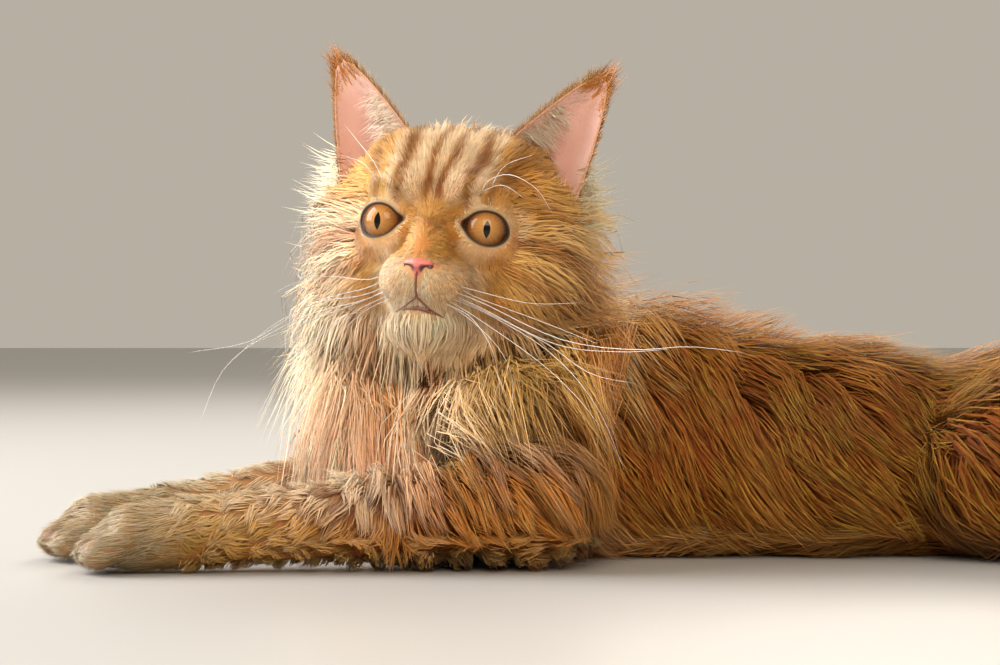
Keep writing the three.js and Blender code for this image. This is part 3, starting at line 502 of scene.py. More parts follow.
# Nose. A small bare pad of pink leather with two wings, a groove below its middle and a
# comma-shaped nostril on each side. It is slightly moist and finely pebbled.
NOSE_AT = -MUZZLE_LENGTH
NOSE_VOXEL = 0.38
NOSE_PINK = (222, 118, 108)
GROOVE_SHADE_PINK = (196, 92, 88)
NOSE_RIM = (186, 92, 80)
NOSTRIL_SHADE = (66, 22, 20)
nose_pad = melt(2, [
    ellipsoid(0, NOSE_AT + 2.2, -16.9, 6.4, 4.6, 2.8),
    *[ellipsoid(s * 4.7, NOSE_AT + 2.6, -18.6, 2.9, 3.6, 2.5) for s in (-1, 1)],
    limb((0, NOSE_AT + 0.6, -18.5), (0, NOSE_AT + 0.9, -25), 3.0, 1.5),
])
groove = limb((0, NOSE_AT - 3.0, -19.5), (0, NOSE_AT - 0.9, -26), 0.5, 0.7)
nostril_limbs = []
for s in SIDES:
    nostril_limbs += [
        limb((s * 3.0, NOSE_AT - 2.6, -19.4), (s * 4.6, NOSE_AT - 0.9, -19.2), 1.5, 1.2),
        limb((s * 4.6, NOSE_AT - 0.9, -19.2), (s * 7.6, NOSE_AT + 1.8, -18.0), 1.2, 0.5),
    ]
nostrils = melt(0.6, nostril_limbs)
nose_form = carve(carve(nose_pad, nostrils, 0.9), groove, 1.2)


def node(tree, kind, inputs, **values):
    """A new node; each input, by name or number, is linked to a socket or set to a value."""
    made = tree.nodes.new(kind)
    for key, value in values.items():
        setattr(made, key, value)
    for place, value in inputs.items():
        if isinstance(value, bpy.types.NodeSocket):
            tree.links.new(value, made.inputs[place])
        else:
            made.inputs[place].default_value = value
    return made


def linear(*rgb):
    """The scene's own colour for a display colour with parts from 0 to 255."""
    c = np.array(rgb, float) / 255
    return np.where(c <= 0.04045, c / 12.92, ((c + 0.055) / 1.055) ** 2.4)


def tinted(mesh, colour):
    """Stores a colour for each point of a mesh, which its material reads."""
    tint = mesh.attributes.new("coat", "FLOAT_COLOR", "POINT")
    rgba = np.ones((len(mesh.vertices), 4), np.float32)
    rgba[:, :3] = colour
    tint.data.foreach_set("color", rgba.ravel())


def surface(name, settings):
    """A material with its tree and its Principled shader, which takes the given values."""
    material = bpy.data.materials.new(name)
    material.use_nodes = True
    shader = material.node_tree.nodes["Principled BSDF"]
    for socket, value in settings.items():
        shader.inputs[socket].default_value = value
    return material, material.node_tree, shader


def attribute_material(name, settings):
    """A surface whose colour comes from the points of its mesh."""
    material, tree, shader = surface(name, settings)
    read = node(tree, "ShaderNodeAttribute", {}, attribute_name="coat")
    tree.links.new(read.outputs["Color"], shader.inputs["Base Color"])
    return material


def add_relief(tree, height, strength, distance):
    """Lets a socket's value stand out from the surface, by a distance in metres."""
    bump = node(tree, "ShaderNodeBump", {"Height": height, "Strength": strength, "Distance": distance})
    tree.links.new(bump.outputs["Normal"], tree.nodes["Principled BSDF"].inputs["Normal"])


def add_grain(material, scale, distance, strength):
    """Fine relief from a noise of the piece's own place."""
    tree = material.node_tree
    place = node(tree, "ShaderNodeTexCoord", {}).outputs["Object"]
    noise = node(tree, "ShaderNodeTexNoise", {"Vector": place, "Scale": scale, "Detail": 3.0})
    add_relief(tree, noise.outputs["Fac"], strength, distance)


def ride_root(piece, slot, *nodes):
    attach(piece, "root")
    if nodes:
        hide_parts(*nodes)


def finish_piece(piece, material, slot, *nodes):
    to_metres(piece.data)
    piece.data.materials.append(material)
    ride_root(piece, slot, *nodes)


nose = sculpted("nose_leather", nose_form, NOSE_VOXEL, rounds=4)
nose_points = points_of(nose.data)
inside_nostril = 1 - smoothstep(nostrils.distance(nose_points), 0.0, 1.3)
in_groove = 1 - smoothstep(groove.distance(nose_points), 0.2, 1.1)
at_rim = smoothstep(np.abs(nose_points[:, 0]), 4.5, 7.2)
nose_colour = linear(*NOSE_PINK)
# Painted shade: the groove and the nostrils are painted darker than the pad.
for share, rgb in ((in_groove, GROOVE_SHADE_PINK), (at_rim, NOSE_RIM), (inside_nostril, NOSTRIL_SHADE)):
    nose_colour = lerp(nose_colour, linear(*rgb), share[:, None])
tinted(nose.data, nose_colour)
leather = attribute_material("nose_leather", {"Roughness": 0.42, "Coat Weight": 0.25, "Coat Roughness": 0.25})
add_grain(leather, 2600, 0.00025, 0.6)
set_points(nose.data, from_head(nose_points))
finish_piece(nose, leather, "nose_leather", "nose")


# Eyes. Each is a wet globe with a copper iris that fills the opening, darker at its rim, and
# an upright slit pupil. The cornea bulges a little and gives the bright reflections.
CORNEA_BULGE = 0.8
PUPIL_HALF_WIDTH = 1.4
PUPIL_HALF_HEIGHT = 3.7
IRIS_RADIUS = 9.4
IRIS_COLOURS = (
    (0.2, (184, 132, 72)), (0.5, (164, 112, 56)), (0.74, (126, 80, 36)),
    (0.88, (62, 32, 14)), (1.0, (22, 12, 8)),
)
IRIS_SHADES = (0.7, 1.25)
PUPIL_EDGE = (0.92, 1.1)
PUPIL_BLACK = (0.002, 0.002, 0.002, 1)
GAZE_TURN = {1: math.radians(17), -1: math.radians(-8)}


def eye_frame(out):
    """Axes of an eye in the head's frame: across to the cat's left, down, and outwards."""
    across = np.cross(out, (0, 0, -1.0))
    across /= np.linalg.norm(across)
    return np.stack([across, np.cross(out, -across), out], 1)


def maths(tree, operation, *inputs):
    return node(tree, "ShaderNodeMath", dict(enumerate(inputs)), operation=operation).outputs[0]


def vector_maths(tree, operation, *inputs):
    return node(tree, "ShaderNodeVectorMath", dict(enumerate(inputs)), operation=operation)


def remapped(tree, value, source, target, **values):
    """A value moved from one range to another and kept inside it."""
    ends = {"From Min": source[0], "From Max": source[1], "To Min": target[0], "To Max": target[1]}
    return node(tree, "ShaderNodeMapRange", {"Value": value, **ends}, **values).outputs[0]


def iris_material():
    material, tree, shader = surface("iris", {
        "Roughness": 0.4, "Specular IOR Level": 0.0,
        "Coat Weight": 1.0, "Coat Roughness": 0.02, "Coat IOR": 1.36,
    })
    gaze = node(tree, "ShaderNodeAttribute", {}, attribute_name="gaze").outputs["Vector"]
    apart = node(tree, "ShaderNodeSeparateXYZ", {0: gaze})
    across, down = apart.outputs["X"], apart.outputs["Y"]
    flat = vector_maths(tree, "MULTIPLY", gaze, (1, 1, 0)).outputs[0]
    reach = vector_maths(tree, "LENGTH", flat).outputs["Value"]
    spoke = vector_maths(tree, "NORMALIZE", flat).outputs[0]
    fibres = node(tree, "ShaderNodeTexNoise", {"Vector": spoke, "Scale": 14.0, "Detail": 3.0}).outputs["Fac"]
    ramp = node(tree, "ShaderNodeValToRGB", {0: maths(tree, "DIVIDE", reach, IRIS_RADIUS)})
    stops = ramp.color_ramp.elements
    while len(stops) < len(IRIS_COLOURS):
        stops.new(0.5)
    for stop, (place, rgb) in zip(stops, IRIS_COLOURS):
        stop.position = place
        stop.color = (*linear(*rgb), 1)
    streaks = remapped(tree, fibres, (0.25, 0.75), IRIS_SHADES)
    # Painted light and shade: the iris is scaled brighter or darker from its top to its bottom.
    iris_shade_gradient = remapped(tree, down, (-8.0, 8.0), IRIS_SHADES[::-1])
    lit = vector_maths(tree, "SCALE", ramp.outputs["Color"])
    tree.links.new(maths(tree, "MULTIPLY", streaks, iris_shade_gradient), lit.inputs["Scale"])
    wide = maths(tree, "ABSOLUTE", maths(tree, "DIVIDE", across, PUPIL_HALF_WIDTH))
    high = maths(tree, "DIVIDE", down, PUPIL_HALF_HEIGHT)
    slit = maths(tree, "ADD", wide, maths(tree, "MULTIPLY", high, high))
    outside = remapped(tree, slit, PUPIL_EDGE, (0, 1), interpolation_type="SMOOTHSTEP")
    layers = {"Factor": outside, "A": PUPIL_BLACK, "B": lit.outputs[0]}
    pupil = node(tree, "ShaderNodeMix", layers, data_type="RGBA")
    tree.links.new(pupil.outputs["Result"], shader.inputs["Base Color"])
    return material


iris = iris_material()
for side, side_name in SIDE_NAMES.items():
    bpy.ops.object.select_all(action="DESELECT")
    bpy.ops.mesh.primitive_uv_sphere_add(segments=72, ring_count=48, radius=1)
    eye = bpy.context.object
    eye.name = f"eyeball_{side_name}"
    gaze = points_of(eye.data)
    bulge = 1 + CORNEA_BULGE / EYE_RADIUS * smoothstep(gaze[:, 2], 0.72, 0.97)
    ahead = np.array((math.sin(GAZE_TURN[side]), -math.cos(GAZE_TURN[side]), 0))
    place = (gaze * bulge[:, None] * EYE_RADIUS) @ eye_frame(ahead).T + eye_centres[side]
    layer = eye.data.attributes.new("gaze", "FLOAT_VECTOR", "POINT")
    layer.data.foreach_set("vector", (gaze * EYE_RADIUS).astype(np.float32).ravel())
    set_points(eye.data, from_head(place))
    bpy.ops.object.shade_smooth()
    finish_piece(eye, iris, "eye", f"eye_{side_name}")


# Lids. A thin dark moist rim hugs each globe, drawn out to a point at the inner corner, and
# rolls over into the short pale fur round the eye. The lower lid is the thicker one.
LID_STEPS = 72
RIM_PROFILE = ((-3.0, -0.6), (-0.5, 0.12), (1.0, 0.5), (3.0, 0.8), (5.0, 0.9))
SKIRT_SHARES = (0.2, 0.4, 0.6, 0.8, 1.0)
SKIRT_REACH = 17.5
SKIRT_CROWN = 0.5
SKIRT_SUNK = 1.6
SKIRT_ROUNDS = 40
OUTER_ANGLE, INNER_ANGLE, LOWER_ANGLE, UPPER_ANGLE = 51.0, 53.0, 33.0, 39.5
INNER_POINT, INNER_POINT_TURN = 13, 0.2
OUTER_POINT, OUTER_POINT_TURN = 2.5, 0.25
EYE_TILT = math.radians(10)
LID_RIM = linear(52, 28, 20)
LID_FUR = linear(236, 204, 158) * 0.8
FURRED = (0, 0, 0, 0.15, 0.6, *[1] * 6)


def band(x, centre, half):
    return np.exp(-(((x - centre) / half) ** 2))


def turn_between(turn, other):
    return (turn - other + math.pi) % (2 * math.pi) - math.pi


def opening_angle(turn):
    """Half width of the eye's opening in degrees; turn 0 is its outer corner, a quarter turn is down."""
    c, s = np.cos(turn), np.sin(turn)
    wide = np.where(c > 0, OUTER_ANGLE, INNER_ANGLE)
    high = np.where(s > 0, LOWER_ANGLE, UPPER_ANGLE)
    oval = 1 / np.sqrt((c / wide) ** 2 + (s / high) ** 2)
    inner = INNER_POINT * band(turn_between(turn, math.pi), 0, INNER_POINT_TURN)
    return oval + inner + OUTER_POINT * band(turn_between(turn, 0), 0, OUTER_POINT_TURN)


def on_lid(side, turn, past, height):
    """A point past the opening's edge, in degrees, and above the globe, in the head's frame."""
    angle = np.radians(opening_angle(turn) + past)
    heavy = 1 + 0.25 * np.maximum(np.sin(turn), 0)
    radius = EYE_RADIUS + np.where(np.asarray(height) > 0, height * heavy, height)
    lean = turn + EYE_TILT
    local = np.stack([side * np.cos(lean) * np.sin(angle), np.sin(lean) * np.sin(angle),
                      np.cos(angle) * np.ones_like(lean)], -1)
    return (local * radius[..., None]) @ eye_frame(eye_axes[side]).T + eye_centres[side]


def ring_faces(rings, columns):
    """Faces of a closed grid, joined in both directions."""
    faces = []
    for r in range(rings):
        row, next_row = r * columns, (r + 1) % rings * columns
        for c in range(columns):
            d = (c + 1) % columns
            faces.append((row + c, row + d, next_row + d, next_row + c))
    return faces


def on_skirt(side, turn, share):
    """A point of the fold that spans from the rim to the face, in the head's frame."""
    rim = on_lid(side, turn, RIM_PROFILE[-1][0], RIM_PROFILE[-1][1] * np.ones_like(turn))
    frame_of_eye = eye_frame(eye_axes[side])
    lean = turn + EYE_TILT
    away = np.stack([side * np.cos(lean), np.sin(lean)], -1) @ frame_of_eye[:, :2].T
    foot = eye_centres[side] + away * SKIRT_REACH + eye_axes[side] * 14
    for _ in range(SKIRT_ROUNDS):
        foot = foot - eye_axes[side] * 0.8 * skull.distance(foot.astype(np.float32))[:, None]
    share = np.asarray(share, float)[..., None] * np.ones((len(turn), 1))
    crown = eye_axes[side] * (SKIRT_CROWN * np.sin(math.pi * share))
    return rim + (foot - rim) * share + crown - eye_axes[side] * SKIRT_SUNK * (share > 0.99)


lid_skin = attribute_material("lid_skin", {
    "Roughness": 0.55, "Coat Weight": 0.06, "Coat Roughness": 0.3, "Specular IOR Level": 0.15,
})
add_grain(lid_skin, 1500, 0.0002, 0.4)
lid_turn = np.arange(LID_STEPS) * 2 * math.pi / LID_STEPS
for side, side_name in SIDE_NAMES.items():
    rows = [on_lid(side, lid_turn, past, height * np.ones(LID_STEPS)) for past, height in RIM_PROFILE]
    rows += [on_skirt(side, lid_turn, share) for share in SKIRT_SHARES]
    under = rows[-1] * 0.55 + rows[0] * 0.45 - eye_axes[side] * 3
    rows.append(under)
    lid_points = from_head(np.concatenate(rows).astype(np.float32))
    lids = add_mesh(f"lids_{side_name}", lid_points, ring_faces(len(rows), LID_STEPS))
    recalculate_normals(lids)
    bpy.ops.object.shade_smooth()
    tinted(lids.data, lerp(LID_RIM, LID_FUR, np.repeat(FURRED, LID_STEPS)[:, None]))
    finish_piece(lids, lid_skin, "face_coat")


# Mouth. A dark groove runs down from the nose and parts along both sides; the lower lip shows
# between as a small bare pad. Tubes of lip skin follow the muzzle just above its surface.
LIP_STATIONS = 16
LIP_SIDES = 8
LIP_RAISE = 0.9
LIP_RADIUS = 0.5
along_lip = np.linspace(0, 1, LIP_STATIONS)
even_width = LIP_RADIUS * np.ones(LIP_STATIONS)
drawn_out = LIP_RADIUS * (1 - 0.65 * along_lip)
full_middle = 1.05 * np.sin(np.linspace(0.25, math.pi - 0.25, LIP_STATIONS))
LIP_BROWN = (112, 60, 46)
LIPS = (
    # name, line, radii, how far it is raised, a direction across it, colour
    ("philtrum", ((0, -22, -20.5), (0, -21, -24), (0, -20, -28), (0.3, -19, -31)),
     even_width, LIP_RAISE, (0, -1, 0.2), LIP_BROWN),
    ("lip_left", ((0.3, -19, -31), (3.5, -17.5, -34.2), (7.5, -14, -37.2), (11, -10, -39.5)),
     drawn_out, LIP_RAISE, (0, -1, 0.2), LIP_BROWN),
    ("lip_right", ((0.3, -19, -31), (-3.0, -17.8, -33.6), (-6.5, -15, -36.4), (-9, -12, -38.2)),
     drawn_out, LIP_RAISE, (0, -1, 0.2), LIP_BROWN),
    ("lip_lower", ((-6, -14, -37.4), (-3, -15.5, -36.4), (1, -16, -36), (4.5, -15, -36.8), (8, -13, -38.4)),
     full_middle, 0.0, (0, -1, 0), (118, 72, 58)),
)


def tube(name, line, radii, out):
    """A closed round tube along a line; out is any direction across it."""
    line = np.asarray(line, float)
    along = np.gradient(line, axis=0)
    along /= np.linalg.norm(along, axis=1)[:, None]
    across = np.cross(along, out)
    across /= np.linalg.norm(across, axis=1)[:, None]
    upward = np.cross(across, along)
    turn = np.arange(LIP_SIDES) * 2 * math.pi / LIP_SIDES
    rings = (line[:, None] + across[:, None] * (np.cos(turn) * radii[:, None])[..., None]
             + upward[:, None] * (np.sin(turn) * radii[:, None])[..., None])
    count = len(line)
    points = np.concatenate([rings.reshape(-1, 3), line[:1], line[-1:]])
    faces = []
    last = (count - 1) * LIP_SIDES
    for c in range(LIP_SIDES):
        d = (c + 1) % LIP_SIDES
        for r in range(0, last, LIP_SIDES):
            faces.append((r + c, r + d, r + LIP_SIDES + d, r + LIP_SIDES + c))
        faces.append((count * LIP_SIDES, d, c))
        faces.append((count * LIP_SIDES + 1, last + c, last + d))
    piece = add_mesh(name, points, faces)
    recalculate_normals(piece)
    bpy.ops.object.shade_smooth()
    return piece


lip_skin = attribute_material("lip_skin", {"Roughness": 0.38, "Coat Weight": 0.2, "Coat Roughness": 0.25})
add_grain(lip_skin, 1800, 0.0002, 0.4)
mouth_lines = []
for name, line, radii, raised, out, rgb in LIPS:
    line = project(skull.distance, smooth_line(line, LIP_STATIONS).astype(np.float32), 6)
    line = line + outward(skull.distance, line) * raised
    mouth_lines.append(line)
    lip = tube(name, line, radii, out)
    tinted(lip.data, linear(*rgb))
    set_points(lip.data, from_head(points_of(lip.data)))
    finish_piece(lip, lip_skin, "nose_leather")


# Markings. A red tabby's coat goes from cream on the chin, chest and toes to deep rust along the back,
# with darker bars on brow, cheeks and tail. Painted light and shade are mixed in: paler towards the window,
# darker on the rear flank, the chest and the paws, in the crimps and between the toes. Skin and hair take the
# same colours.
CREAM = linear(255, 231, 194)
GOLD = linear(240, 182, 92)
ORANGE = linear(214, 128, 44)
RUST = linear(164, 80, 22)
BROWN = linear(138, 74, 26)
NOISE_CELLS = 32
noise_table = np.random.default_rng(5).random((NOISE_CELLS,) * 3).astype(np.float32)


def cloud(p, size):
    """Smooth noise between 0 and 1 over lumps of about that size."""
    q = np.asarray(p, float) / size
    cell = np.floor(q).astype(int)
    f = q - cell
    f = f * f * (3 - 2 * f)
    total = 0
    for corner in range(8):
        o = np.array((corner & 1, corner >> 1 & 1, corner >> 2))
        i = (cell + o) % NOISE_CELLS
        share = np.prod(np.where(o, f, 1 - f), axis=-1)
        total = total + share * noise_table[i[..., 0], i[..., 1], i[..., 2]]
    return total


def blend(a, b, share):
    """A colour on the way from one to another, with a share for each point, held from 0 to 1."""
    return lerp(a, b, np.clip(share, 0, 1)[..., None])


# Bars of the face, in the plane of the face: from, to and half width, then how dark they are.
FACE_BARS = (
    ((33, -3), (62, -15), 3.0, 0.75), ((28, -14), (58, -30), 3.2, 0.6), ((37, 9), (60, 4), 2.4, 0.5),
    ((10, -4), (8.5, -15), 1.8, 0.5), ((24, -28), (44, -44), 3.0, 0.45),
)


def head_colour(p):
    q = to_head(p)
    x, y, z = np.abs(q[:, 0]), q[:, 1], q[:, 2]
    # The ground: gold with orange clouds. Low on the cheeks it turns pale, most on the cat's right cheek,
    # which faces the window: partly cream fur and partly painted window light.
    waver = 3.4 * (cloud(q, 14) - 0.5)
    colour = blend(GOLD, ORANGE, 0.3 + 0.9 * (cloud(q, 20) - 0.5)) * np.ones((len(q), 1))
    colour = blend(colour, ORANGE, smoothstep(y, 46, 66))
    colour = blend(colour, GOLD * 1.1, 0.7 * smoothstep(q[:, 0], 28, 46))
    # Painted window light: the cat's right cheek, on the window side, is painted much paler than its left.
    pale = np.where(q[:, 0] < 0, 0.95, 0.15)
    colour = blend(colour, CREAM, pale * smoothstep(x, 28, 46) * smoothstep(-z, -22, 6))
    # The brow: three wavering bars on each side, and fine ticks between them.
    brow = smoothstep(z, 6, 13) * (1 - smoothstep(y, 50, 70))
    lines = band(x + waver, 3.4, 1.7) + 1.2 * band(x + waver, 13 + 0.06 * z, 2.5)
    lines += 0.8 * band(x + waver, 24 + 0.12 * z, 2.6)
    ticks = smoothstep(cloud(q * (1, 1, 0.35), 2.6), 0.5, 0.75)
    colour = blend(colour, CREAM, 0.55 * brow * (1 - lines) * (x < 21))
    colour = blend(colour, BROWN, brow * (0.85 * lines + 0.2 * ticks))
    # The bridge of the nose, then the bars of the cheeks.
    bridge = band(x, 0, 8) * smoothstep(z, -18, -8) * (1 - smoothstep(z, 2, 12))
    colour = blend(colour, GOLD * 1.05, 0.65 * bridge)
    colour = blend(colour, BROWN, (0.1 + 0.55 * ticks) * bridge)
    for start, end, half, dark in FACE_BARS:
        run = np.array(end, float) - start
        h = np.clip(((x - start[0]) * run[0] + (z - start[1]) * run[1]) / (run @ run), 0, 1)
        away = np.hypot(x - start[0] - h * run[0], z - start[1] - h * run[1] + waver)
        colour = blend(colour, RUST, dark * np.exp(-((away / half) ** 2)))
    # Pale round the eyes, on the muzzle with its rows of spots, and on the chin.
    eye_gap = np.hypot(x - EYE_SPACING / 2, z)
    round_eye = 0.5 * band(eye_gap, 12.0, 2.6) * (1 - 0.5 * (z > 6)) * (y < 30) * (x > 12)
    colour = blend(colour, CREAM, round_eye)
    muzzle = (1 - smoothstep(z, -19, -11)) * (1 - smoothstep(y, -2, 16)) * (1 - smoothstep(x, 17, 27))
    colour = blend(colour, CREAM, np.where(q[:, 0] > 6, 0.6, 0.9) * muzzle)
    spots = smoothstep(np.cos(x * 1.5) * np.cos((z + 0.2 * x) * 1.6), 0.55, 0.9)
    colour = blend(colour, ORANGE, 0.45 * spots * muzzle * (x > 8) * (z > -33))
    chin = (1 - smoothstep(z, -40, -30)) * (1 - smoothstep(y, 16, 40))
    return blend(colour, CREAM, 0.95 * chin) * 0.94


def body_colour(p):
    x, y, z = p[:, 0], p[:, 1], p[:, 2]
    patches = cloud(p, 34)
    streaks = cloud(p * (1, 1, 0.5), 15)
    back = smoothstep(x, lerp(-5, 26, smoothstep(z, 60, 90)), lerp(45, 80, smoothstep(z, 60, 90)))
    # Painted window light: the front towards the window, at low x, is painted paler.
    window_side = 1 - smoothstep(x, -78, -40)
    # Front of the chest and neck: cream and gold patches, orange streaks, and dark crimps that are painted
    # shade between the locks. Towards the window it is painted paler, as painted window light.
    front = blend(GOLD, CREAM, smoothstep(patches + 0.35 * window_side - 0.3 * smoothstep(x, 0, 40), 0.3, 0.52))
    front = blend(front, ORANGE, (0.9 - 0.5 * window_side) * smoothstep(streaks, 0.52, 0.66))
    front = blend(front, RUST, 0.5 * (1 - window_side) * smoothstep(streaks, 0.64, 0.76))
    # Painted shade: dark crimps in the gaps between the wavy locks.
    crimps = smoothstep(np.sin((z + 0.4 * x) / 4 + 9 * cloud(p, 26)), 0.2, 0.95) * (z < 92)
    front = blend(front, BROWN, (0.4 - 0.25 * window_side) * crimps)
    # Painted shade: the chest behind the forelegs and below the head and ruff is darkened.
    front = front * (1 - 0.28 * smoothstep(x, -40, 10) * (1 - smoothstep(z, 92, 112)))[:, None]
    # Side of the body: orange and rust, a little paler low on the flank. Painted shade darkens it towards the
    # rear, and the top of the back stays lighter as painted light from behind.
    side = blend(ORANGE, RUST, 0.5 + 1.1 * (streaks - 0.35) - 0.15 * smoothstep(z, 80, 115))
    side = blend(side, GOLD, 0.3 * (1 - smoothstep(z, 6, 40)) * (1 - smoothstep(x, 110, 180)))
    side = side * (0.86 - 0.3 * smoothstep(x, 60, 150) * (1 - smoothstep(z, 80, 115)))[:, None]
    return blend(front, side, np.maximum(back, smoothstep(y, 105, 150)))


TOE_GAPS = (-8, 0, 8)


def toe_gaps(p):
    """Where the grooves between the toes of the forepaws run, which are painted dark as shade."""
    dark = np.zeros(len(p))
    for leg in FORELEGS.values():
        end, wrist = (np.array(leg[name], float)[:2] for name in ("toes", "wrist"))
        along = (end - wrist) / np.linalg.norm(end - wrist)
        ahead = (p[:, :2] - end) @ along
        across = (p[:, :2] - end) @ np.array((-along[1], along[0]))
        near = (np.abs(across) < 19) & (ahead > -19) & (ahead < 12)
        gap = np.max([band(across, place, 1.5) for place in TOE_GAPS], axis=0)
        dark = np.maximum(dark, near * gap * smoothstep(ahead, -19, -9))
    return dark


def elbow_ripples(p):
    """The crimped bands that run down and back across the elbow and the forearm."""
    wave = np.sin((p[:, 0] + p[:, 2]) / 2.6 + 5 * cloud(p, 20) + 0.04 * p[:, 1])
    return smoothstep(wave, 0.0, 0.9) * smoothstep(p[:, 0], -130, -80)


def leg_colour(p):
    x, z = p[:, 0], p[:, 2]
    colour = blend(CREAM, GOLD, 0.2 + 0.8 * smoothstep(x, -170, -110) + 0.6 * (cloud(p, 12) - 0.3))
    colour = blend(colour, ORANGE, 0.75 * smoothstep(x, -110, -20) * (0.5 + smoothstep(z, 0, 30)))
    # Painted highlight: the top of the forearm is paler cream where the light falls on it.
    colour = blend(colour, CREAM, 0.7 * smoothstep(z, 22, 36) * (1 - smoothstep(x, -60, -20)))
    # Painted shade: the troughs of the crimps are painted dark brown.
    colour = blend(colour, BROWN, 0.8 * elbow_ripples(p))
    # Painted shade: the forearm is darkened towards the paw, most at the toes.
    reach = smoothstep(x, -160, -90)[:, None]
    colour = colour * lerp(np.array((0.45, 0.46, 0.42)), np.array((0.84, 0.78, 0.76)), reach)
    upper_arm = blend(body_colour(p), ORANGE * 0.8, 0.55 * np.ones(len(p)))
    colour = blend(colour, upper_arm, smoothstep(z, 38, 58) * smoothstep(x, -80, -30))
    # Painted shade: the grooves between the toes are painted dark.
    return blend(colour, BROWN * 0.5, 0.85 * toe_gaps(p))


def tail_colour(p):
    rings = smoothstep(np.sin(np.arctan2(p[:, 1] - 20, p[:, 0] - 340) * 9), 0, 0.7)
    return blend(ORANGE, RUST, 0.25 + 0.6 * rings) * np.ones((len(p), 1))


BODY_PAINTED = ("neck", "chest", "trunk", "thigh_left", "thigh_right")
PART_SOFTNESS = 6.0
part_names = list(body_parts)
leg_parts = [name for name in part_names if name.startswith(("fore", "hind"))]


def part_shares(p):
    """How far each body part owns a point of the skin."""
    gaps = np.stack([form.distance(p) for form in body_parts.values()], -1)
    shares = np.exp(-np.clip(gaps - gaps.min(-1, keepdims=True), 0, 60) / PART_SOFTNESS)
    return shares / shares.sum(-1, keepdims=True)


def shares_of(shares, *names):
    return sum(shares[:, part_names.index(name)] for name in names)[:, None]


def coat_colour(p, shares):
    """The markings at points of the coat, blended between the parts that own them."""
    return (head_colour(p) * shares_of(shares, "head") + body_colour(p) * shares_of(shares, *BODY_PAINTED)
            + leg_colour(p) * shares_of(shares, *leg_parts) + tail_colour(p) * shares_of(shares, "tail"))


# Painted shade: the skin is darkened below the coat's colour, so that the deep gaps between the tufts read as
# shadowed fur. Each ear's back wall comes before its bare one.
SKIN_SHADE = (0.62, 0.44, 0.3)
EAR_WALLS = 2 * ((ORANGE * 0.8, RUST), (linear(222, 178, 164), linear(196, 128, 112)))
skin_points = points_of(skin.data)
skin_colour = coat_colour(skin_points, part_shares(skin_points)) * SKIN_SHADE
wall_points = EAR_ROWS * EAR_COLUMNS
up_ear = np.repeat(np.linspace(0, 1, EAR_ROWS), EAR_COLUMNS)[:, None]
first = len(skin_points) - len(EAR_WALLS) * wall_points
for tone, deep in EAR_WALLS:
    wall = slice(first, first + wall_points)
    blotch = cloud(skin_points[wall], 9)[:, None]
    skin_colour[wall] = lerp(tone, deep, 0.7 * blotch * (1 - 0.5 * up_ear))
    first += wall_points
tinted(skin.data, skin_colour)
hide = attribute_material("hide", {
    "Roughness": 0.6,
    "Subsurface Weight": 0.15, "Subsurface Radius": (0.004, 0.0015, 0.001), "Subsurface Scale": 1.0,
})
add_grain(hide, 900, 0.0003, 0.4)
skin.data.materials.append(hide)
ride_root(skin, "body_coat", *[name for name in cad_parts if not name.startswith(("eye", "nose"))])


# Lie of the coat. Hair runs back from the nose over the head, down over the ruff and chest,
# back along the flanks, along each leg and along the tail, and turns outwards near the floor.
GRID_STEP = 3.0
GRID_LOW = np.array((-236.0, -160.0, -12.0))
GRID_HIGH = np.array((475.0, 220.0, 265.0))
grid_axes = [np.arange(low, high, GRID_STEP) for low, high in zip(GRID_LOW, GRID_HIGH)]
grid = np.stack(np.meshgrid(*grid_axes, indexing="ij"), -1).astype(np.float32)
gaps = flesh.distance(grid)
field = np.stack([gaps, *np.gradient(gaps, GRID_STEP)], -1).astype(np.float32)
del grid


def flesh_at(p):
    """Distance to the flesh and the way out of it, read from the grid."""
    q = np.clip((p - GRID_LOW) / GRID_STEP, 0, np.array(field.shape[:3]) - 1.001)
    cell = q.astype(int)
    f = q - cell
    total = 0
    for corner in range(8):
        o = (corner & 1, corner >> 1 & 1, corner >> 2)
        share = np.prod([f[..., k] if o[k] else 1 - f[..., k] for k in range(3)], axis=0)
        place = tuple(cell[..., k] + o[k] for k in range(3))
        total = total + share[..., None] * field[place]
    normal = total[..., 1:]
    return total[..., 0], normal / np.maximum(np.linalg.norm(normal, axis=-1, keepdims=True), 1e-6)


NOSE_TIP = np.array((0, -30.0, -4.0))


def unit(v):
    return v / np.maximum(np.linalg.norm(v, axis=-1, keepdims=True), 1e-9)


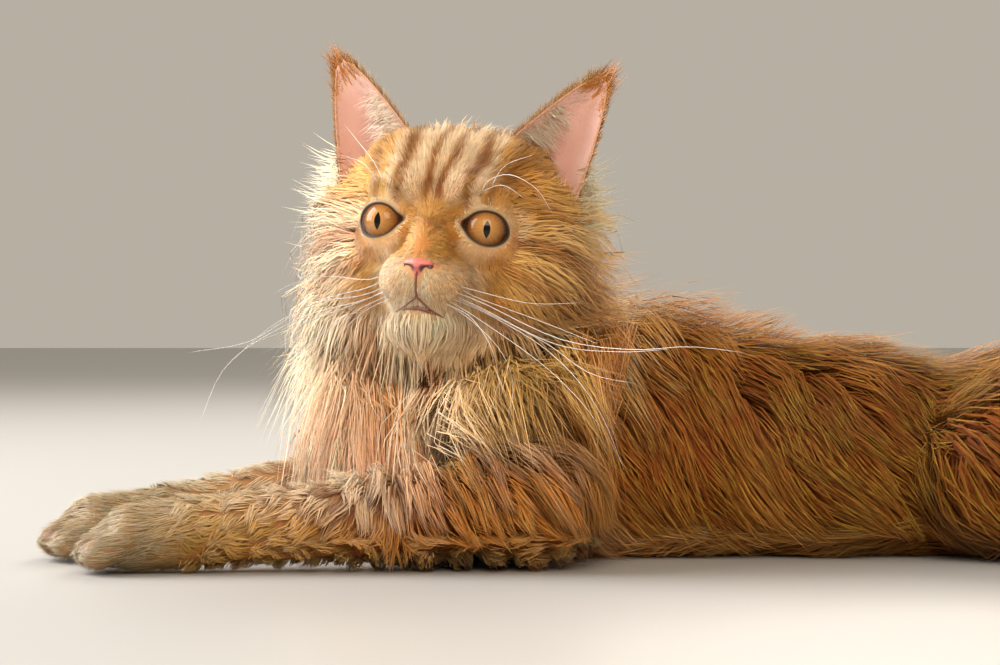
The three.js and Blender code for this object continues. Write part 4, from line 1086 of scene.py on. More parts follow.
def flow_at(p, shares):
    """The direction in which the coat lies, before it is laid along the skin."""
    x, y, z = p[:, 0], p[:, 1], p[:, 2]
    one = np.ones(len(p))
    q = to_head(p)
    head = unit(q - NOSE_TIP) + (0, 0, -0.3)
    for s in SIDES:
        from_eye = q - eye_centres[s]
        near = 1.8 * band(np.linalg.norm(from_eye, axis=1), 12, 5)
        head = head + unit(from_eye) * near[:, None]
    chin = (1 - smoothstep(q[:, 2], -40, -33)) * (1 - smoothstep(q[:, 1], 22, 40))
    head = (head + (0, 0, -2.2) * chin[:, None]) @ head_axes.T
    neck = np.stack([(x - HEAD_AT[0]) / 80, 0.012 * (y - 70), -one], 1)
    chest = np.stack([lerp(-0.35, 0.55, smoothstep(x, -40, 40)), 0.013 * (y - CHEST_Y), -one], 1)
    back = smoothstep(x, 50, 250)
    trunk = np.stack([lerp(0.6, 1, back), 0.008 * (y - TRUNK_Y), lerp(-1, -0.45, back)], 1)
    thigh = np.stack([0.7 * one, 0 * one, -one], 1)
    foreleg = np.stack([lerp(-0.9, 0.6, smoothstep(x, -110, 0)), -0.45 * one, -0.8 * one], 1)
    paw = np.stack([-one, 0 * one, -0.35 * one], 1)
    nearest = ((p[:, None, :2] - tail_line[None, :, :2]) ** 2).sum(-1).argmin(1)
    tail = tail_along[nearest] + (0, 0, 0.05)
    flows = {"head": head, "neck": neck, "chest": chest, "trunk": trunk, "tail": tail}
    total = 0
    for name in part_names:
        kind = name.split("_")[0]
        flow = flows.get(name)
        if flow is None:
            flow = {"thigh": thigh, "foreleg": foreleg}.get(kind, paw)
        total = total + unit(flow) * shares_of(shares, name)
    low = (1 - smoothstep(z, 6, 34)) * (1 - shares_of(shares, "head")[:, 0])
    total[:, 1] += 0.6 * low * np.sign(y - TRUNK_Y)
    total[:, 2] *= 1 - 0.85 * low
    return total


# Hair. Each tuft is a thin closed blade that tapers to its tip, rooted in the skin. Tufts
# gather into locks towards their tips, wave a little and never pass the floor.
skin.data.calc_loop_triangles()
triangles = skin.data.loop_triangles
triangle_faces = read_values(triangles, "polygon_index", 1, np.int32)[:, 0]
skin_uv = read_values(skin.data.uv_layers["OFBake"].data, "uv", 2, np.float32)
corners = points_of(skin.data)[read_values(triangles, "vertices", 3, np.int32)]
corner_uvs = skin_uv[read_values(triangles, "loops", 3, np.int32)]
crossing = np.cross(corners[:, 1] - corners[:, 0], corners[:, 2] - corners[:, 0])
triangle_area = (np.linalg.norm(crossing, axis=1) / 2).astype(float)
triangle_middle = corners.mean(1)
triangle_part = np.where(triangle_faces < skin_faces, part_shares(triangle_middle).argmax(1), -1)
head_middle = to_head(triangle_middle)
to_metres(skin.data)


def roots_on(chosen, spacing, seed):
    """Roots spread over the chosen triangles: places and places on the skin's map."""
    draw = np.random.default_rng(seed)
    index = np.flatnonzero(chosen)
    run = np.cumsum(triangle_area[index] / (spacing * spacing))
    count = int(run[-1])
    at = (np.arange(count) + draw.random(count)) * run[-1] / count
    index = index[np.searchsorted(run, at)]
    a, b = draw.random((2, count, 1))
    a, b = np.where(a + b > 1, 1 - a, a), np.where(a + b > 1, 1 - b, b)
    share = np.stack([1 - a - b, a, b], 1)
    return (corners[index] * share).sum(1), (corner_uvs[index] * share).sum(1)


def tree_of(points):
    tree = KDTree(len(points))
    for i, point in enumerate(points):
        tree.insert(point, i)
    tree.balance()
    return tree


def nearest(tree, places):
    return np.array([tree.find(place)[1] for place in places])


skin_tree = tree_of(triangle_middle)


def map_places(path):
    """Places on the skin's map for tufts that aren't spread by roots_on."""
    return corner_uvs[nearest(skin_tree, path[:, 0])].mean(1)


def laid(v, normal):
    """The part of a direction that runs along the skin."""
    return v - (v * normal).sum(1)[:, None] * normal


# What a coat has where it says nothing else: the height of its layers as shares of its depth, how
# far hairs turn aside, how they rise, the size and number of their waves, and the sharpest turn
# that is kept, as a cosine.
PLAIN_COAT = {"layers": (0.35, 1.0), "stray": 0.09, "curve": 0.6, "wave": 0, "waves": 1.2, "even": 0.3}
TRACK_STEPS = 10
LENGTH_SPREAD = 0.25
LUMP_SIZE = 14.0
STRAY_SHARE = 0.03
STRAY_RISE = 0.2
STRAY_FREEDOM = 0.7
WAY_KEPT = 3
ROOT_SUNK = 0.4
GATHER_CURVE = 1.2


def lock_paths(roots, shares, stops, coat, draw):
    """The line of each tuft over the skin, at the given shares of its length."""
    count = len(roots)
    length = coat["length"] * (1 + LENGTH_SPREAD * draw.uniform(-1, 1, count))
    rise = coat["depth"] * draw.uniform(*coat["layers"], count)
    strays = draw.random(count) < STRAY_SHARE
    rise = rise * (1 + STRAY_RISE * strays) * (0.75 + 0.5 * cloud(roots, LUMP_SIZE))
    twist = coat["stray"] * draw.normal(0, 1, count)
    foot = roots.astype(float)
    feet, normals, ways = [], [], []
    for _ in range(TRACK_STEPS + 1):
        gap, normal = flesh_at(foot)
        flow = unit(laid(flow_at(foot, shares), normal))
        flow = unit(flow + np.cross(normal, flow) * twist[:, None])
        if ways:
            flow = unit(flow + WAY_KEPT * laid(ways[-1], normal))
        feet.append(foot)
        normals.append(normal)
        ways.append(flow)
        foot = foot + flow * (length / TRACK_STEPS)[:, None] - normal * gap[:, None] * 0.5
    marks = [int(round(stop * TRACK_STEPS)) for stop in (*stops, 1)]
    path, out, along = (np.stack([rows[m] for m in marks], 1) for rows in (feet, normals, ways))
    share = np.array([m / TRACK_STEPS for m in marks])
    height = rise[:, None] * share ** np.reshape(coat["curve"], (-1, 1)) - ROOT_SUNK * (share == 0)
    path = path + out * height[..., None]
    leaders = draw.permutation(count)[:max(1, int(count / coat["lock"]))]
    leader = leaders[nearest(tree_of(roots[leaders]), roots)]
    gather = (coat["gather"] * (1 - STRAY_FREEDOM * strays))[:, None] * share ** GATHER_CURVE
    path = path + (path[leader] - path) * gather[..., None]
    phase = draw.uniform(0, 2 * math.pi, count)[leader] + 0.25 * draw.normal(0, 1, count)
    turn = phase[:, None] + coat["waves"] * 2 * math.pi * share
    path = path + np.cross(out, along) * (coat["wave"] * np.sin(turn) * share)[..., None]
    path = path + out * (coat["wave"] * 0.5 * np.cos(turn) * share)[..., None]
    return path, out, leader


UV_PATCH = 0.003
ROUNDNESS = 0.18
FLOOR_TOUCH = 0.4
STRAND_KINDS = 977


def tuft_mesh(name, path, out, width, profile, colour, uv, material, slot, flat=0.2):
    """A closed three-sided blade on each line, with its colour, strand and skin-map places."""
    count, stops = path.shape[:2]
    rings = stops - 1
    along = unit(np.gradient(path, axis=1))
    side = unit(np.cross(along, out))
    half = width[:, None] * np.array(profile)[None, :] / 2
    ring_path, ring_side, ring_out = path[:, :rings], side[:, :rings], out[:, :rings]
    section = np.empty((count, rings, 3, 3))
    section[:, :, 0] = ring_path - ring_side * half[..., None]
    section[:, :, 1] = ring_path + ring_out * (half * 2 * flat)[..., None]
    section[:, :, 2] = ring_path + ring_side * half[..., None]
    points = np.concatenate([section.reshape(count, rings * 3, 3), path[:, -1:]], 1)
    points[..., 2] = np.maximum(points[..., 2], FLOOR_TOUCH)
    faces = [(0, 2, 1)]
    for r in range(rings - 1):
        for k in range(3):
            a, b = 3 * r + k, 3 * r + (k + 1) % 3
            faces += [(a, b, b + 3), (a, b + 3, a + 3)]
    for k in range(3):
        faces.append((3 * rings - 3 + k, 3 * rings - 3 + (k + 1) % 3, 3 * rings))
    faces = np.array(faces)
    size = rings * 3 + 1
    indices = (np.arange(count) * size)[:, None, None] + faces[None]
    mesh = bpy.data.meshes.new(name)
    mesh.vertices.add(count * size)
    set_points(mesh, points.reshape(-1, 3))
    mesh.loops.add(indices.size)
    mesh.loops.foreach_set("vertex_index", indices.ravel().astype(np.int32))
    mesh.polygons.add(indices.size // 3)
    mesh.polygons.foreach_set("loop_start", np.arange(0, indices.size, 3, dtype=np.int32))
    across = np.append(np.tile((0.0, 0.5, 1.0), rings), 0.5)
    up = np.append(np.repeat(np.linspace(0, 1, stops)[:-1], 3), 1.0)
    layer = mesh.uv_layers.new(name="OFBake")
    patch = np.stack([across - 0.5, up - 0.5], 1)[faces] * UV_PATCH
    uvs = np.clip(uv[:, None, None] + patch[None], 0, 1)
    layer.data.foreach_set("uv", uvs.astype(np.float32).ravel())
    tinted(mesh, np.repeat(colour, size, axis=0))
    strand = mesh.attributes.new("strand", "FLOAT_VECTOR", "POINT")
    strand_place = np.empty((count, size, 3), np.float32)
    strand_place[..., 0] = across
    strand_place[..., 1] = up
    strand_place[..., 2] = np.arange(count)[:, None] % STRAND_KINDS
    strand.data.foreach_set("vector", strand_place.ravel())
    mesh.update(calc_edges=True)
    mesh.shade_smooth()
    facing = np.empty((count, size, 3))
    for k, lean in enumerate((-ROUNDNESS, 0, ROUNDNESS)):
        facing[:, k:rings * 3:3] = ring_out + ring_side * lean
    facing[:, -1] = out[:, -1]
    mesh.normals_split_custom_set_from_vertices(unit(facing).reshape(-1, 3))
    to_metres(mesh)
    piece = bpy.data.objects.new(name, mesh)
    bpy.context.collection.objects.link(piece)
    mesh.materials.append(material)
    ride_root(piece, slot)
    print(name, count, "tufts", len(mesh.polygons), "triangles")


# Fibre. Fine streaks along each tuft come from one node group that every coat material uses. Each tuft is
# painted darker at its root, as shade in the depth of the coat, and paler at its tip, as painted light.
STREAK_STRETCH = (4.0, 0.8, 3.7)
fibre = bpy.data.node_groups.new("fibre", "ShaderNodeTree")
for label, value in (("Root", (0.8, 0.62, 0.45, 1)), ("Tip", (1.15, 1.13, 1.1, 1))):
    fibre.interface.new_socket(label, in_out="INPUT", socket_type="NodeSocketColor").default_value = value
for label, kind in (("Color", "NodeSocketColor"), ("Height", "NodeSocketFloat")):
    fibre.interface.new_socket(label, in_out="OUTPUT", socket_type=kind)
given = node(fibre, "NodeGroupInput", {}).outputs
own_colour = node(fibre, "ShaderNodeAttribute", {}, attribute_name="coat").outputs["Color"]
strand_place = node(fibre, "ShaderNodeAttribute", {}, attribute_name="strand").outputs["Vector"]
along_strand = node(fibre, "ShaderNodeSeparateXYZ", {0: strand_place}).outputs["Y"]
stretched = vector_maths(fibre, "MULTIPLY", strand_place, STREAK_STRETCH).outputs[0]
fine = node(fibre, "ShaderNodeTexNoise", {"Vector": stretched, "Scale": 1.0, "Detail": 2.0}).outputs["Fac"]
ends = {"Factor": along_strand, "A": given["Root"], "B": given["Tip"]}
root_to_tip = node(fibre, "ShaderNodeMix", ends, data_type="RGBA").outputs["Result"]
streaked = vector_maths(fibre, "SCALE", vector_maths(fibre, "MULTIPLY", own_colour, root_to_tip).outputs[0])
fibre.links.new(remapped(fibre, fine, (0.3, 0.7), (0.9, 1.1)), streaked.inputs["Scale"])
node(fibre, "NodeGroupOutput", {"Color": streaked.outputs[0], "Height": fine})


def hair_material(name, root, tip):
    material, tree, shader = surface(name, {
        "Roughness": 0.6, "Specular IOR Level": 0.15,
        "Sheen Weight": 0.15, "Sheen Roughness": 0.4, "Sheen Tint": (1.0, 0.8, 0.5, 1),
        "Subsurface Weight": 0.35, "Subsurface Radius": (0.004, 0.002, 0.001), "Subsurface Scale": 1.0,
    })
    strands = node(tree, "ShaderNodeGroup", {}, node_tree=fibre)
    strands.inputs["Root"].default_value = root
    strands.inputs["Tip"].default_value = tip
    tree.links.new(strands.outputs["Color"], shader.inputs["Base Color"])
    add_relief(tree, strands.outputs["Height"], 0.3, 0.0003)
    return material


# Darker roots are painted shade and paler tips painted light; ruff_hair lifts its hair above the coat colour,
# partly paler hair and partly painted light.
short_hair = hair_material("short_hair", (0.95, 0.84, 0.7, 1), (1.1, 1.1, 1.08, 1))
long_hair = hair_material("long_hair", (0.85, 0.68, 0.5, 1), (1.1, 1.08, 1.02, 1))
ruff_hair = hair_material("ruff_hair", (1.25, 1.14, 0.98, 1), (1.45, 1.42, 1.32, 1))

# Where a tuft has its rings, as shares of its length, and how wide it is there.
RINGS = {
    "long": ((0, 0.3, 0.6), (0.8, 1.0, 0.75)),
    "middling": ((0, 0.5), (1.0, 0.8)),
    "short": ((0,), (1.0,)),
}
LOCK_TONE = 0.09
HAIR_TONE = {"long": 0.07, "middling": 0.13, "short": 0.13}
WIDTH_SPREAD = 0.3
DRAW_SHIFT = 1000


def grow(name, chosen, coat, slot, seed, kind="long"):
    """A piece of coat on the chosen triangles of the skin; lengths in a coat are millimetres."""
    roots, uv = roots_on(chosen, coat["spacing"], seed)
    shares = part_shares(roots)
    draw = np.random.default_rng(seed + DRAW_SHIFT)
    coat = {key: value(roots) if callable(value) else value for key, value in {**PLAIN_COAT, **coat}.items()}
    stops, profile = RINGS[kind]
    path, out, leader = lock_paths(roots, shares, stops, coat, draw)
    colour = coat_colour(path[:, :2].mean(1) if kind == "long" else roots, shares)
    lock_tone = LOCK_TONE * draw.normal(0, 1, len(roots))[leader]
    colour = colour * (1 + lock_tone + HAIR_TONE[kind] * draw.normal(0, 1, len(roots)))[:, None]
    width = coat["width"] * (1 + WIDTH_SPREAD * draw.uniform(-1, 1, len(roots)))
    if kind != "long":
        material = short_hair
    elif slot in ("body_coat", "tail_coat"):
        material = long_hair
    else:
        material = ruff_hair
    steps = unit(np.diff(path, axis=1))
    even = (steps[:, 1:] * steps[:, :-1]).sum(-1).min(1, initial=1) > coat["even"]
    tuft_mesh(name, path[even], out[even], width[even], profile, np.clip(colour, 0, 1)[even], uv[even],
              material, slot)


def skin_of(*names):
    """The triangles of the named parts, apart from those that rest on the floor."""
    owned = np.isin(triangle_part, [part_names.index(name) for name in names])
    return owned & (triangle_middle[:, 2] > FLOOR_CLEARANCE + 0.3)


# Face. Velvet-short hair that lengthens back from the nose and towards the cheeks. It is left
# off the lids, the nose leather and the lips.
def cheek_share(q):
    return (smoothstep(np.abs(q[:, 0]), 20, 44) * smoothstep(q[:, 1], -2, 26)
            * (1 - smoothstep(q[:, 2], 8, 32)))


def face_depth(roots):
    q = to_head(roots)
    return 1.1 + 5.0 * smoothstep(q[:, 1], -16, 30) + 5 * cheek_share(q)


def face_length(roots):
    return 2.4 + 1.3 * face_depth(roots) + 9 * cheek_share(to_head(roots))


LID_EDGE = 2.5
LIP_GAPS = (-0.4, -0.3, -0.3, 0.2)
bare = nose_form.distance(head_middle) < 0.3
for side in SIDES:
    from_eye = head_middle - eye_centres[side]
    ahead = from_eye @ eye_axes[side]
    bare |= (np.sqrt((from_eye**2).sum(1) - ahead**2) < SKIRT_REACH - LID_EDGE) & (ahead > 0)
for line, lip_gap in zip(mouth_lines, LIP_GAPS):
    near_line = np.linalg.norm(head_middle[:, None] - line[None, ::2], axis=2).min(1)
    bare |= near_line < lip_gap + LIP_RAISE
on_head = skin_of("head") & ~bare
cheek = cheek_share(head_middle)
chin = (head_middle[:, 2] < -37) & (head_middle[:, 1] < 24) & (np.abs(head_middle[:, 0]) < 24)
face_coat = {
    "spacing": 0.58, "depth": face_depth, "length": face_length, "width": 0.55,
    "lock": 9, "gather": 0.4, "stray": 0.15,
}
on_face = on_head & (head_middle[:, 1] < 34) & (cheek < 0.6) & ~chin
upper_face = head_middle[:, 2] > -6
grow("fur_brow", on_face & upper_face, face_coat, "face_coat", 11, "short")
grow("fur_muzzle", on_face & ~upper_face, face_coat, "face_coat", 14, "short")


# Lid fur. The finest hair of the face fans out from the lids over the fold round each eye. It
# lies nearly flat, and is darker at the corners of the eye and below it.
LID_HAIRS = 3200
LID_HAIR_WIDTH = 0.45
LID_HAIR_RISE = 0.28
LID_HAIRS_TO = 0.98
lid_draw = np.random.default_rng(15)
for side, side_name in SIDE_NAMES.items():
    turn = lid_draw.uniform(0, 2 * math.pi, LID_HAIRS)
    start = lid_draw.uniform(0.0, LID_HAIRS_TO, LID_HAIRS)
    root = on_skirt(side, turn, start)
    further = on_skirt(side, turn, start + 0.01 * (start < LID_HAIRS_TO))
    onward = unit(further - on_lid(side, turn, 0, np.ones(LID_HAIRS)))
    reach = (2.2 + 2.6 * start) * lid_draw.uniform(0.8, 1.2, LID_HAIRS)
    tip = root + (onward + eye_axes[side] * LID_HAIR_RISE) * reach[:, None]
    path = from_head(np.stack([root, tip], 1))
    outwards = np.broadcast_to(eye_axes[side] @ head_axes.T, path.shape)
    dark = 0.55 * np.abs(np.cos(turn)) ** 6 + 0.25 * (np.sin(turn) > 0.3)
    colour = blend(head_colour(path[:, 1]), ORANGE * 0.8, dark)
    colour = colour * (1 + 0.08 * lid_draw.normal(0, 1, LID_HAIRS))[:, None]
    width = LID_HAIR_WIDTH * np.ones(LID_HAIRS)
    tuft_mesh(f"fur_lids_{side_name}", path, outwards, width, (1.0,), np.clip(colour, 0, 1), map_places(path),
              short_hair, "face_coat")


# Beard. Cream hair hangs from the chin and from the jaw's edge below the lip. Its locks are
# soft and a little wavy.
beard_coat = {
    "spacing": 0.8, "depth": 17, "length": 13, "width": 0.55, "lock": 24, "gather": 0.45,
    "wave": 1.2, "layers": (0.15, 1.0), "curve": 0.9,
}
grow("fur_beard", on_head & chin, beard_coat, "face_coat", 16)


# Crown and nape. Soft hair of middle length covers the head between and behind the ears, and
# runs back into the ruff.
crown = on_head & (head_middle[:, 1] >= 34) & (cheek < 0.25) & ~chin
crown_coat = {
    "spacing": 0.92, "depth": 13, "length": 15, "width": 0.6, "lock": 16, "gather": 0.45,
    "wave": 0.8, "curve": 0.8,
}
grow("fur_crown", crown, crown_coat, "face_coat", 12, "middling")


# Cheeks. Long loose hair fans out behind the face and falls into the ruff. It starts short at
# the face and is longest and deepest at the back of the jaw.
def cheek_depth(roots):
    return 3 + 47 * cheek_share(to_head(roots)) ** 1.3


def cheek_length(roots):
    return 6 + 34 * cheek_share(to_head(roots)) ** 1.2


def cheek_curve(roots):
    return 0.85 - 0.4 * cheek_share(to_head(roots))


cheek_coat = {
    "spacing": 0.72, "depth": cheek_depth, "length": cheek_length, "width": 0.47, "lock": 50, "gather": 0.4,
    "wave": 1.6, "waves": 1.0, "layers": (0.15, 1.0), "curve": cheek_curve, "even": 0.62,
}
CHEEK_SEEDS = {1: 13, -1: 17}
on_cheek = on_head & (cheek >= 0.06) & ~chin
for side, side_name in SIDE_NAMES.items():
    on_side = on_cheek & (head_middle[:, 0] * side > 0)
    grow(f"fur_cheek_{side_name}", on_side, cheek_coat, "face_coat", CHEEK_SEEDS[side])


# Ruff. The longest hair of all stands round the neck and hangs over the chest. It is fullest
# in front, and made in two halves.
def ruff_front(roots):
    return 1 - smoothstep(roots[:, 1], 36, 66)


def ruff_depth(roots):
    return 46 + 8 * ruff_front(roots)


def ruff_length(roots):
    return 48 + 16 * ruff_front(roots)


ruff_coat = {
    "spacing": 0.9, "depth": ruff_depth, "length": ruff_length, "width": 0.56, "lock": 80, "gather": 0.5,
    "wave": 1.8, "waves": 1.2, "layers": (0.12, 1.0), "curve": 0.45,
}
on_neck = skin_of("neck")
left_half = head_middle[:, 0] > 0
grow("fur_ruff_left", on_neck & left_half, ruff_coat, "ruff_coat", 21)
grow("fur_ruff_right", on_neck & ~left_half, ruff_coat, "ruff_coat", 22)


# Chest and shoulders. Long hair hangs in wavy locks, shorter at the top, where the ruff covers
# it. The far half has fewer and wider tufts.
def chest_depth(roots):
    return 33 * (1 - 0.8 * smoothstep(roots[:, 2], 66, 92))


def chest_length(roots):
    return 36 - 14 * smoothstep(roots[:, 2], 62, 92)


chest_coat = {
    "spacing": 1.15, "depth": chest_depth, "length": chest_length, "width": 0.66, "lock": 60, "gather": 0.55,
    "wave": 2.0, "waves": 1.5, "layers": (0.15, 1.0),
}
far_chest_coat = {**chest_coat, "spacing": 1.7, "width": 1.1}
on_chest = skin_of("chest")
near_chest = triangle_middle[:, 1] < CHEST_Y
grow("fur_chest_left", on_chest & near_chest, chest_coat, "ruff_coat", 31)
grow("fur_chest_right", on_chest & ~near_chest, far_chest_coat, "ruff_coat", 32)


# Trunk. Long hair lies back along the ribs and flanks, and stands deepest over the shoulders.
# The far side has fewer and wider tufts.
def trunk_depth(roots):
    return 20 + 15 * band(roots[:, 0], 55, 45) * smoothstep(roots[:, 2], 70, 100)


trunk_coat = {
    "spacing": 1.62, "depth": trunk_depth, "length": 34, "width": 0.82, "lock": 60, "gather": 0.5,
    "wave": 2.2, "waves": 1.0, "layers": (0.2, 1.0),
}
far_trunk_coat = {**trunk_coat, "spacing": 2.8, "width": 1.8}
on_trunk = skin_of("trunk")
near_trunk = triangle_middle[:, 1] < TRUNK_Y
grow("fur_trunk_left", on_trunk & near_trunk, trunk_coat, "body_coat", 41)
grow("fur_trunk_right", on_trunk & ~near_trunk, far_trunk_coat, "body_coat", 42)


# Thighs. The same long coat falls over the folded hind legs, in one piece for both. Its tufts
# are wider and further apart.
thigh_coat = {**trunk_coat, "spacing": 2.3, "depth": 20, "width": 1.3}
grow("fur_thighs", skin_of("thigh_left", "thigh_right"), thigh_coat, "body_coat", 43)


# Forelegs. Short dense hair clothes the wrist, and long crimped hair the elbow and shoulder.
# The coat dips along the crimped bands, which are painted dark as shade.
def elbow_share(roots):
    return smoothstep(roots[:, 0], -110, -20)


def shoulder_top(roots):
    return smoothstep(roots[:, 2], 50, 68)


def shoulder_share(roots):
    share = smoothstep(roots[:, 2], 28, 46) * smoothstep(roots[:, 0], -80, -30)
    return share * (1 - 0.75 * shoulder_top(roots))


def foreleg_depth(roots):
    short = (5 + 9 * elbow_share(roots)) * (1 - 0.65 * elbow_ripples(roots)) * (1 - 0.6 * shoulder_top(roots))
    return short + 10 * shoulder_share(roots)


def foreleg_length(roots):
    near_floor = 0.6 + 0.4 * smoothstep(roots[:, 2], 5, 18)
    return (8 + 6 * elbow_share(roots) + 10 * shoulder_share(roots)) * near_floor


foreleg_coat = {
    "spacing": 1.22, "depth": foreleg_depth, "length": foreleg_length, "width": 0.63, "lock": 30,
    "gather": 0.6, "wave": 1.5, "waves": 1.2,
}
far_foreleg_coat = {**foreleg_coat, "spacing": 1.6}
grow("fur_foreleg_left", skin_of("foreleg_left"), foreleg_coat, "leg_coat", 51, "middling")
grow("fur_foreleg_right", skin_of("foreleg_right"), far_foreleg_coat, "leg_coat", 52, "middling")


# Feet. The shortest hair of the legs lies forwards over the toes. The hind feet are mostly
# hidden, and their hair is coarser.
forepaw_coat = {
    "spacing": 1.1, "depth": 3.2, "length": 7, "width": 0.6, "lock": 10, "gather": 0.4, "wave": 0.4,
}
hind_foot_coat = {
    "spacing": 1.8, "depth": 4, "length": 9, "width": 1.0, "lock": 8, "gather": 0.4, "wave": 0.4,
}
grow("fur_forepaws", skin_of("forepaw_left", "forepaw_right"), forepaw_coat, "leg_coat", 53, "short")
grow("fur_hind_feet", skin_of("hind_foot_left", "hind_foot_right"), hind_foot_coat, "leg_coat", 54, "short")


# Tail. A bushy brush of long hair lies round the rump. Its hair runs back along the tail and
# keeps its length to the tip.
tail_fur = {
    "spacing": 2.0, "depth": 23, "length": 42, "width": 1.3, "lock": 30, "gather": 0.55,
    "wave": 2.4, "layers": (0.2, 1.0), "even": -1,
}
grow("fur_tail", skin_of("tail"), tail_fur, "tail_coat", 61)


# Ear fur. Short hair clothes the backs, a fringe stands on the rims, a tuft tops each tip, and
# long pale hair grows from the inner edge across the cup and out past the outer edge.
EAR_FUR = (
    # name, hairs, t from and to, s from and to, wall, up, across, off the wall, length, width, sag, colour
    ("back", 4200, (-0.05, 0.97), (-1, 1), 1, 1.0, 0.0, 0.3, 6, 0.7, -0.25, (226, 146, 70)),
    ("inner_rim", 700, (0.0, 0.97), (-1, -0.95), -1, 1.0, -0.5, 0.2, 6, 0.5, -0.1, (240, 182, 112)),
    ("outer_rim", 700, (0.0, 0.97), (0.95, 1), -1, 1.0, 0.4, 0.1, 4, 0.5, -0.1, (236, 172, 104)),
    ("lining", 900, (0.0, 0.8), (-0.95, 0.95), -1, 1.0, 0.7, 0.12, 6, 0.25, -0.1, (252, 222, 200)),
    ("tip", 420, (0.8, 0.97), (-1, 1), -1, 1.0, 0.16, 0.05, 14, 0.55, 0.1, (222, 140, 64)),
    ("tip_inside", 300, (0.76, 0.95), (-1, 1), -1, 1.0, 0.1, 0.15, 8, 0.5, -0.1, (236, 172, 108)),
    ("inside", 330, (-0.05, 0.62), (-1, -0.75), -1, 0.5, 1.0, 0.3, 26, 0.38, -0.25, (255, 230, 200)),
    ("base", 460, (-0.05, 0.16), (-0.9, 0.9), -1, 1.0, 0.45, 0.3, 18, 0.5, -0.2, (252, 230, 198)),
    ("side", 360, (-0.02, 0.42), (0.7, 1), -1, 0.25, 1.0, 0.25, 26, 0.45, 0.3, (255, 232, 186)),
)
LONG_FROM = 15
EAR_SEEDS = {1: 71, -1: 72}
EAR_HAIR_SUNK = 0.2
# For each kind of ear hair: how much it crowds towards the root, strays, and shortens upwards.
EAR_HABITS = {"long": (1.8, 0.32, 0.95), "short": (1.0, 0.16, 0.0)}
ear_up = unit(ear_rise)
ear_side = unit(ear_across)
for side, side_name in SIDE_NAMES.items():
    draw = np.random.default_rng(EAR_SEEDS[side])
    mirror = np.array((side, 1, 1))
    for kind, (crowding, stray, shortening) in EAR_HABITS.items():
        stops, profile = RINGS[kind]
        share = np.array((*stops, 1))[:, None]
        paths, outs, widths, colours = [], [], [], []
        for part, hairs, (t0, t1), (s0, s1), wall, up, across, off, length, width, sag, rgb in EAR_FUR:
            is_long = length >= LONG_FROM
            if is_long != (kind == "long"):
                continue
            t = t0 + (t1 - t0) * draw.random(hairs) ** crowding
            s = draw.uniform(s0, s1, hairs)
            root = on_cup(t, s)
            slope = unit(np.cross(on_cup(t, s + 0.01) - root, on_cup(t + 0.01, s) - root))
            facing = slope * np.sign(slope @ ear_back)[:, None] * wall
            way = ear_up * up + ear_side * across + facing * off
            way = unit(way + stray * draw.normal(0, 1, (hairs, 3)))
            reach = length * draw.uniform(0.4, 1.15, hairs) * (1 - shortening * t)
            drop = ear_up * sag if is_long else facing[:, None] * sag
            line = (root + facing * (EAR_WALL / 2 - EAR_HAIR_SUNK))[:, None]
            paths.append(line + reach[:, None, None] * (way[:, None] * share + drop * share**2))
            shown = unit(ear_side + 0.6 * ear_up + 0.7 * facing) if part == "side" else facing
            outs.append(np.repeat(shown[:, None], len(share), axis=1))
            widths.append(width * draw.uniform(0.7, 1.2, hairs))
            colours.append(linear(*rgb) * (1 + 0.1 * draw.normal(0, 1, hairs))[:, None])
        path = from_head(np.concatenate(paths) * mirror)
        out = (np.concatenate(outs) * mirror) @ head_axes.T
        colour = np.clip(np.concatenate(colours), 0, 1)
        tuft_mesh(f"fur_ear_{side_name}_{kind}", path, out, np.concatenate(widths), profile, colour,
                  map_places(path), short_hair, "ear")


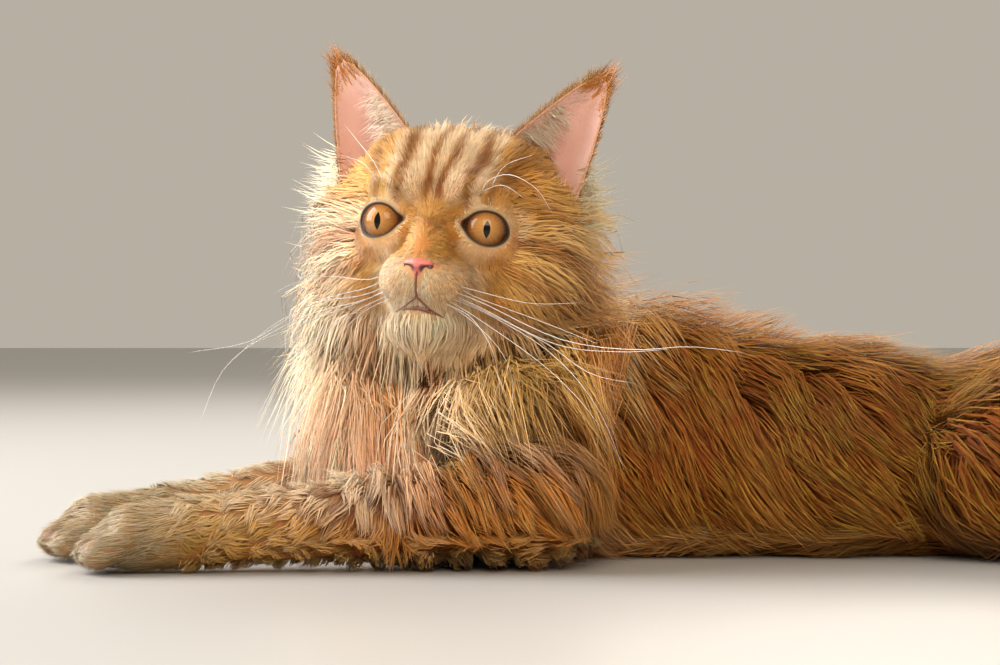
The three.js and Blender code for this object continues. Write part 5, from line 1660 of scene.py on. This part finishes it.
# Whiskers. Stiff white hairs in rows on the muzzle pads, with a few over each eye. Each line
# gives the points that one passes through, in the head's frame.
WHISKERS = (
    ((15, -13, -25), (27, -16, -27), (50, -19, -30), (70, -8, -28)),
    ((15, -13, -28), (30, -18, -32), (64, -20, -44), (93, -12, -46), (116, 5, -43), (139, 24, -44)),
    ((16, -12, -30), (29, -18, -34), (63, -26, -46), (90, -23, -47), (111, -12, -44)),
    ((17, -11, -31), (30, -18, -35), (59, -25, -46), (79, -25, -57), (98, -15, -60)),
    ((14, -13, -31), (31, -17, -36), (61, -23, -50), (82, -19, -71), (95, -8, -99)),
    ((13, -14, -32), (27, -19, -38), (58, -30, -54), (76, -30, -68), (87, -24, -81)),
    ((12, -14, -33), (26, -20, -40), (41, -29, -51), (48, -32, -64), (46, -28, -79)),
    ((11, -15, -33), (25, -21, -38), (37, -32, -49), (42, -35, -61), (43, -33, -70)),
    ((18, -10, -27), (27, -15, -30), (54, -18, -37), (79, -9, -45)),
    ((-15, -13, -25), (-24, -16, -30), (-40, -11, -35), (-66, -7, -49), (-89, -4, -71)),
    ((-15, -13, -28), (-25, -16, -33), (-49, -11, -39), (-76, -7, -57), (-107, 1, -65)),
    ((-16, -12, -30), (-24, -16, -35), (-52, -14, -45), (-83, -13, -67), (-96, -10, -96)),
    ((-17, -11, -31), (-26, -15, -36), (-44, -12, -44), (-62, -8, -52), (-80, -4, -60)),
    ((-14, -13, -32), (-24, -16, -38), (-38, -14, -48), (-53, -12, -60), (-64, -10, -68)),
    ((-15, -13, -23), (-24, -14, -26), (-42, -8, -26), (-60, 0, -30), (-72, 8, -36)),
    ((-12, -14, -33), (-22, -17, -39), (-33, -16, -50), (-38, -16, -60)),
    ((21, -1, 13), (24, -7, 20), (34, -8, 24), (45, -2, 19), (52, 4, 9)),
    ((19, -2, 13), (25, -9, 17), (33, -12, 19), (42, -8, 14)),
    ((23, 0, 13), (30, -4, 27), (42, 2, 34)),
    ((-21, -1, 13), (-26, -6, 24), (-36, -2, 34), (-46, 8, 42)),
    ((-23, 0, 13), (-32, -3, 24), (-46, 4, 28)),
)
WHISKER_STATIONS = 16
WHISKER_WIDTH = 0.52
WHISKER_WHITE = linear(252, 246, 236)
whisker_paths = from_head(np.stack([smooth_line(line, WHISKER_STATIONS + 1) for line in WHISKERS]))
whisker_out = np.broadcast_to(np.array((0, 0.3, 1.0)), whisker_paths.shape) @ head_axes.T
whisker_widths = WHISKER_WIDTH * np.ones(len(WHISKERS))
whisker_profile = np.linspace(1, 0.25, WHISKER_STATIONS)
whisker_colours = np.tile(WHISKER_WHITE, (len(WHISKERS), 1))
whisker_hair = attribute_material("whisker_hair", {"Roughness": 0.3})
tuft_mesh("whiskers", whisker_paths, whisker_out, whisker_widths, whisker_profile, whisker_colours,
          map_places(whisker_paths), whisker_hair, "face_coat", flat=0.8)


# Studio. A pale floor, a cool light like a window's from the left, and soft warm lights in
# front and behind.
FLOOR_SIZE = 12
bpy.ops.object.select_all(action="DESELECT")
bpy.ops.mesh.primitive_plane_add(size=FLOOR_SIZE)
floor = bpy.context.object
floor.name = "floor"
floor_finish, _, _ = surface("floor", {"Base Color": (0.46, 0.45, 0.43, 1), "Roughness": 0.4})
floor.data.materials.append(floor_finish)

LIGHTS = (
    # name, place and target in metres, size, power, tint
    ("window", (-1.7, 0.1, 1.0), (-0.05, 0.0, 0.12), 1.6, 72, (0.98, 0.98, 1.0)),
    ("front", (0.2, -2.0, 1.4), (0.0, 0.0, 0.1), 1.4, 40, (1.0, 0.9, 0.75)),
    ("back", (0.5, 1.5, 1.4), (0.0, 0.0, 0.1), 1.2, 30, (1.0, 0.92, 0.82)),
)
for name, at, target, size, power, tint in LIGHTS:
    way = Vector(at) - Vector(target)
    bpy.ops.object.light_add(type="AREA", location=at, rotation=way.to_track_quat("Z", "Y").to_euler())
    lamp = bpy.context.object
    lamp.name = name
    lamp.data.size = size
    lamp.data.energy = power
    lamp.data.color = tint
world = bpy.data.worlds.new("studio")
bpy.context.scene.world = world
world.use_nodes = True
sky = world.node_tree.nodes["Background"].inputs
sky["Color"].default_value = (0.86, 0.78, 0.66, 1)
sky["Strength"].default_value = 0.55
bpy.context.scene.view_settings.view_transform = "Standard"
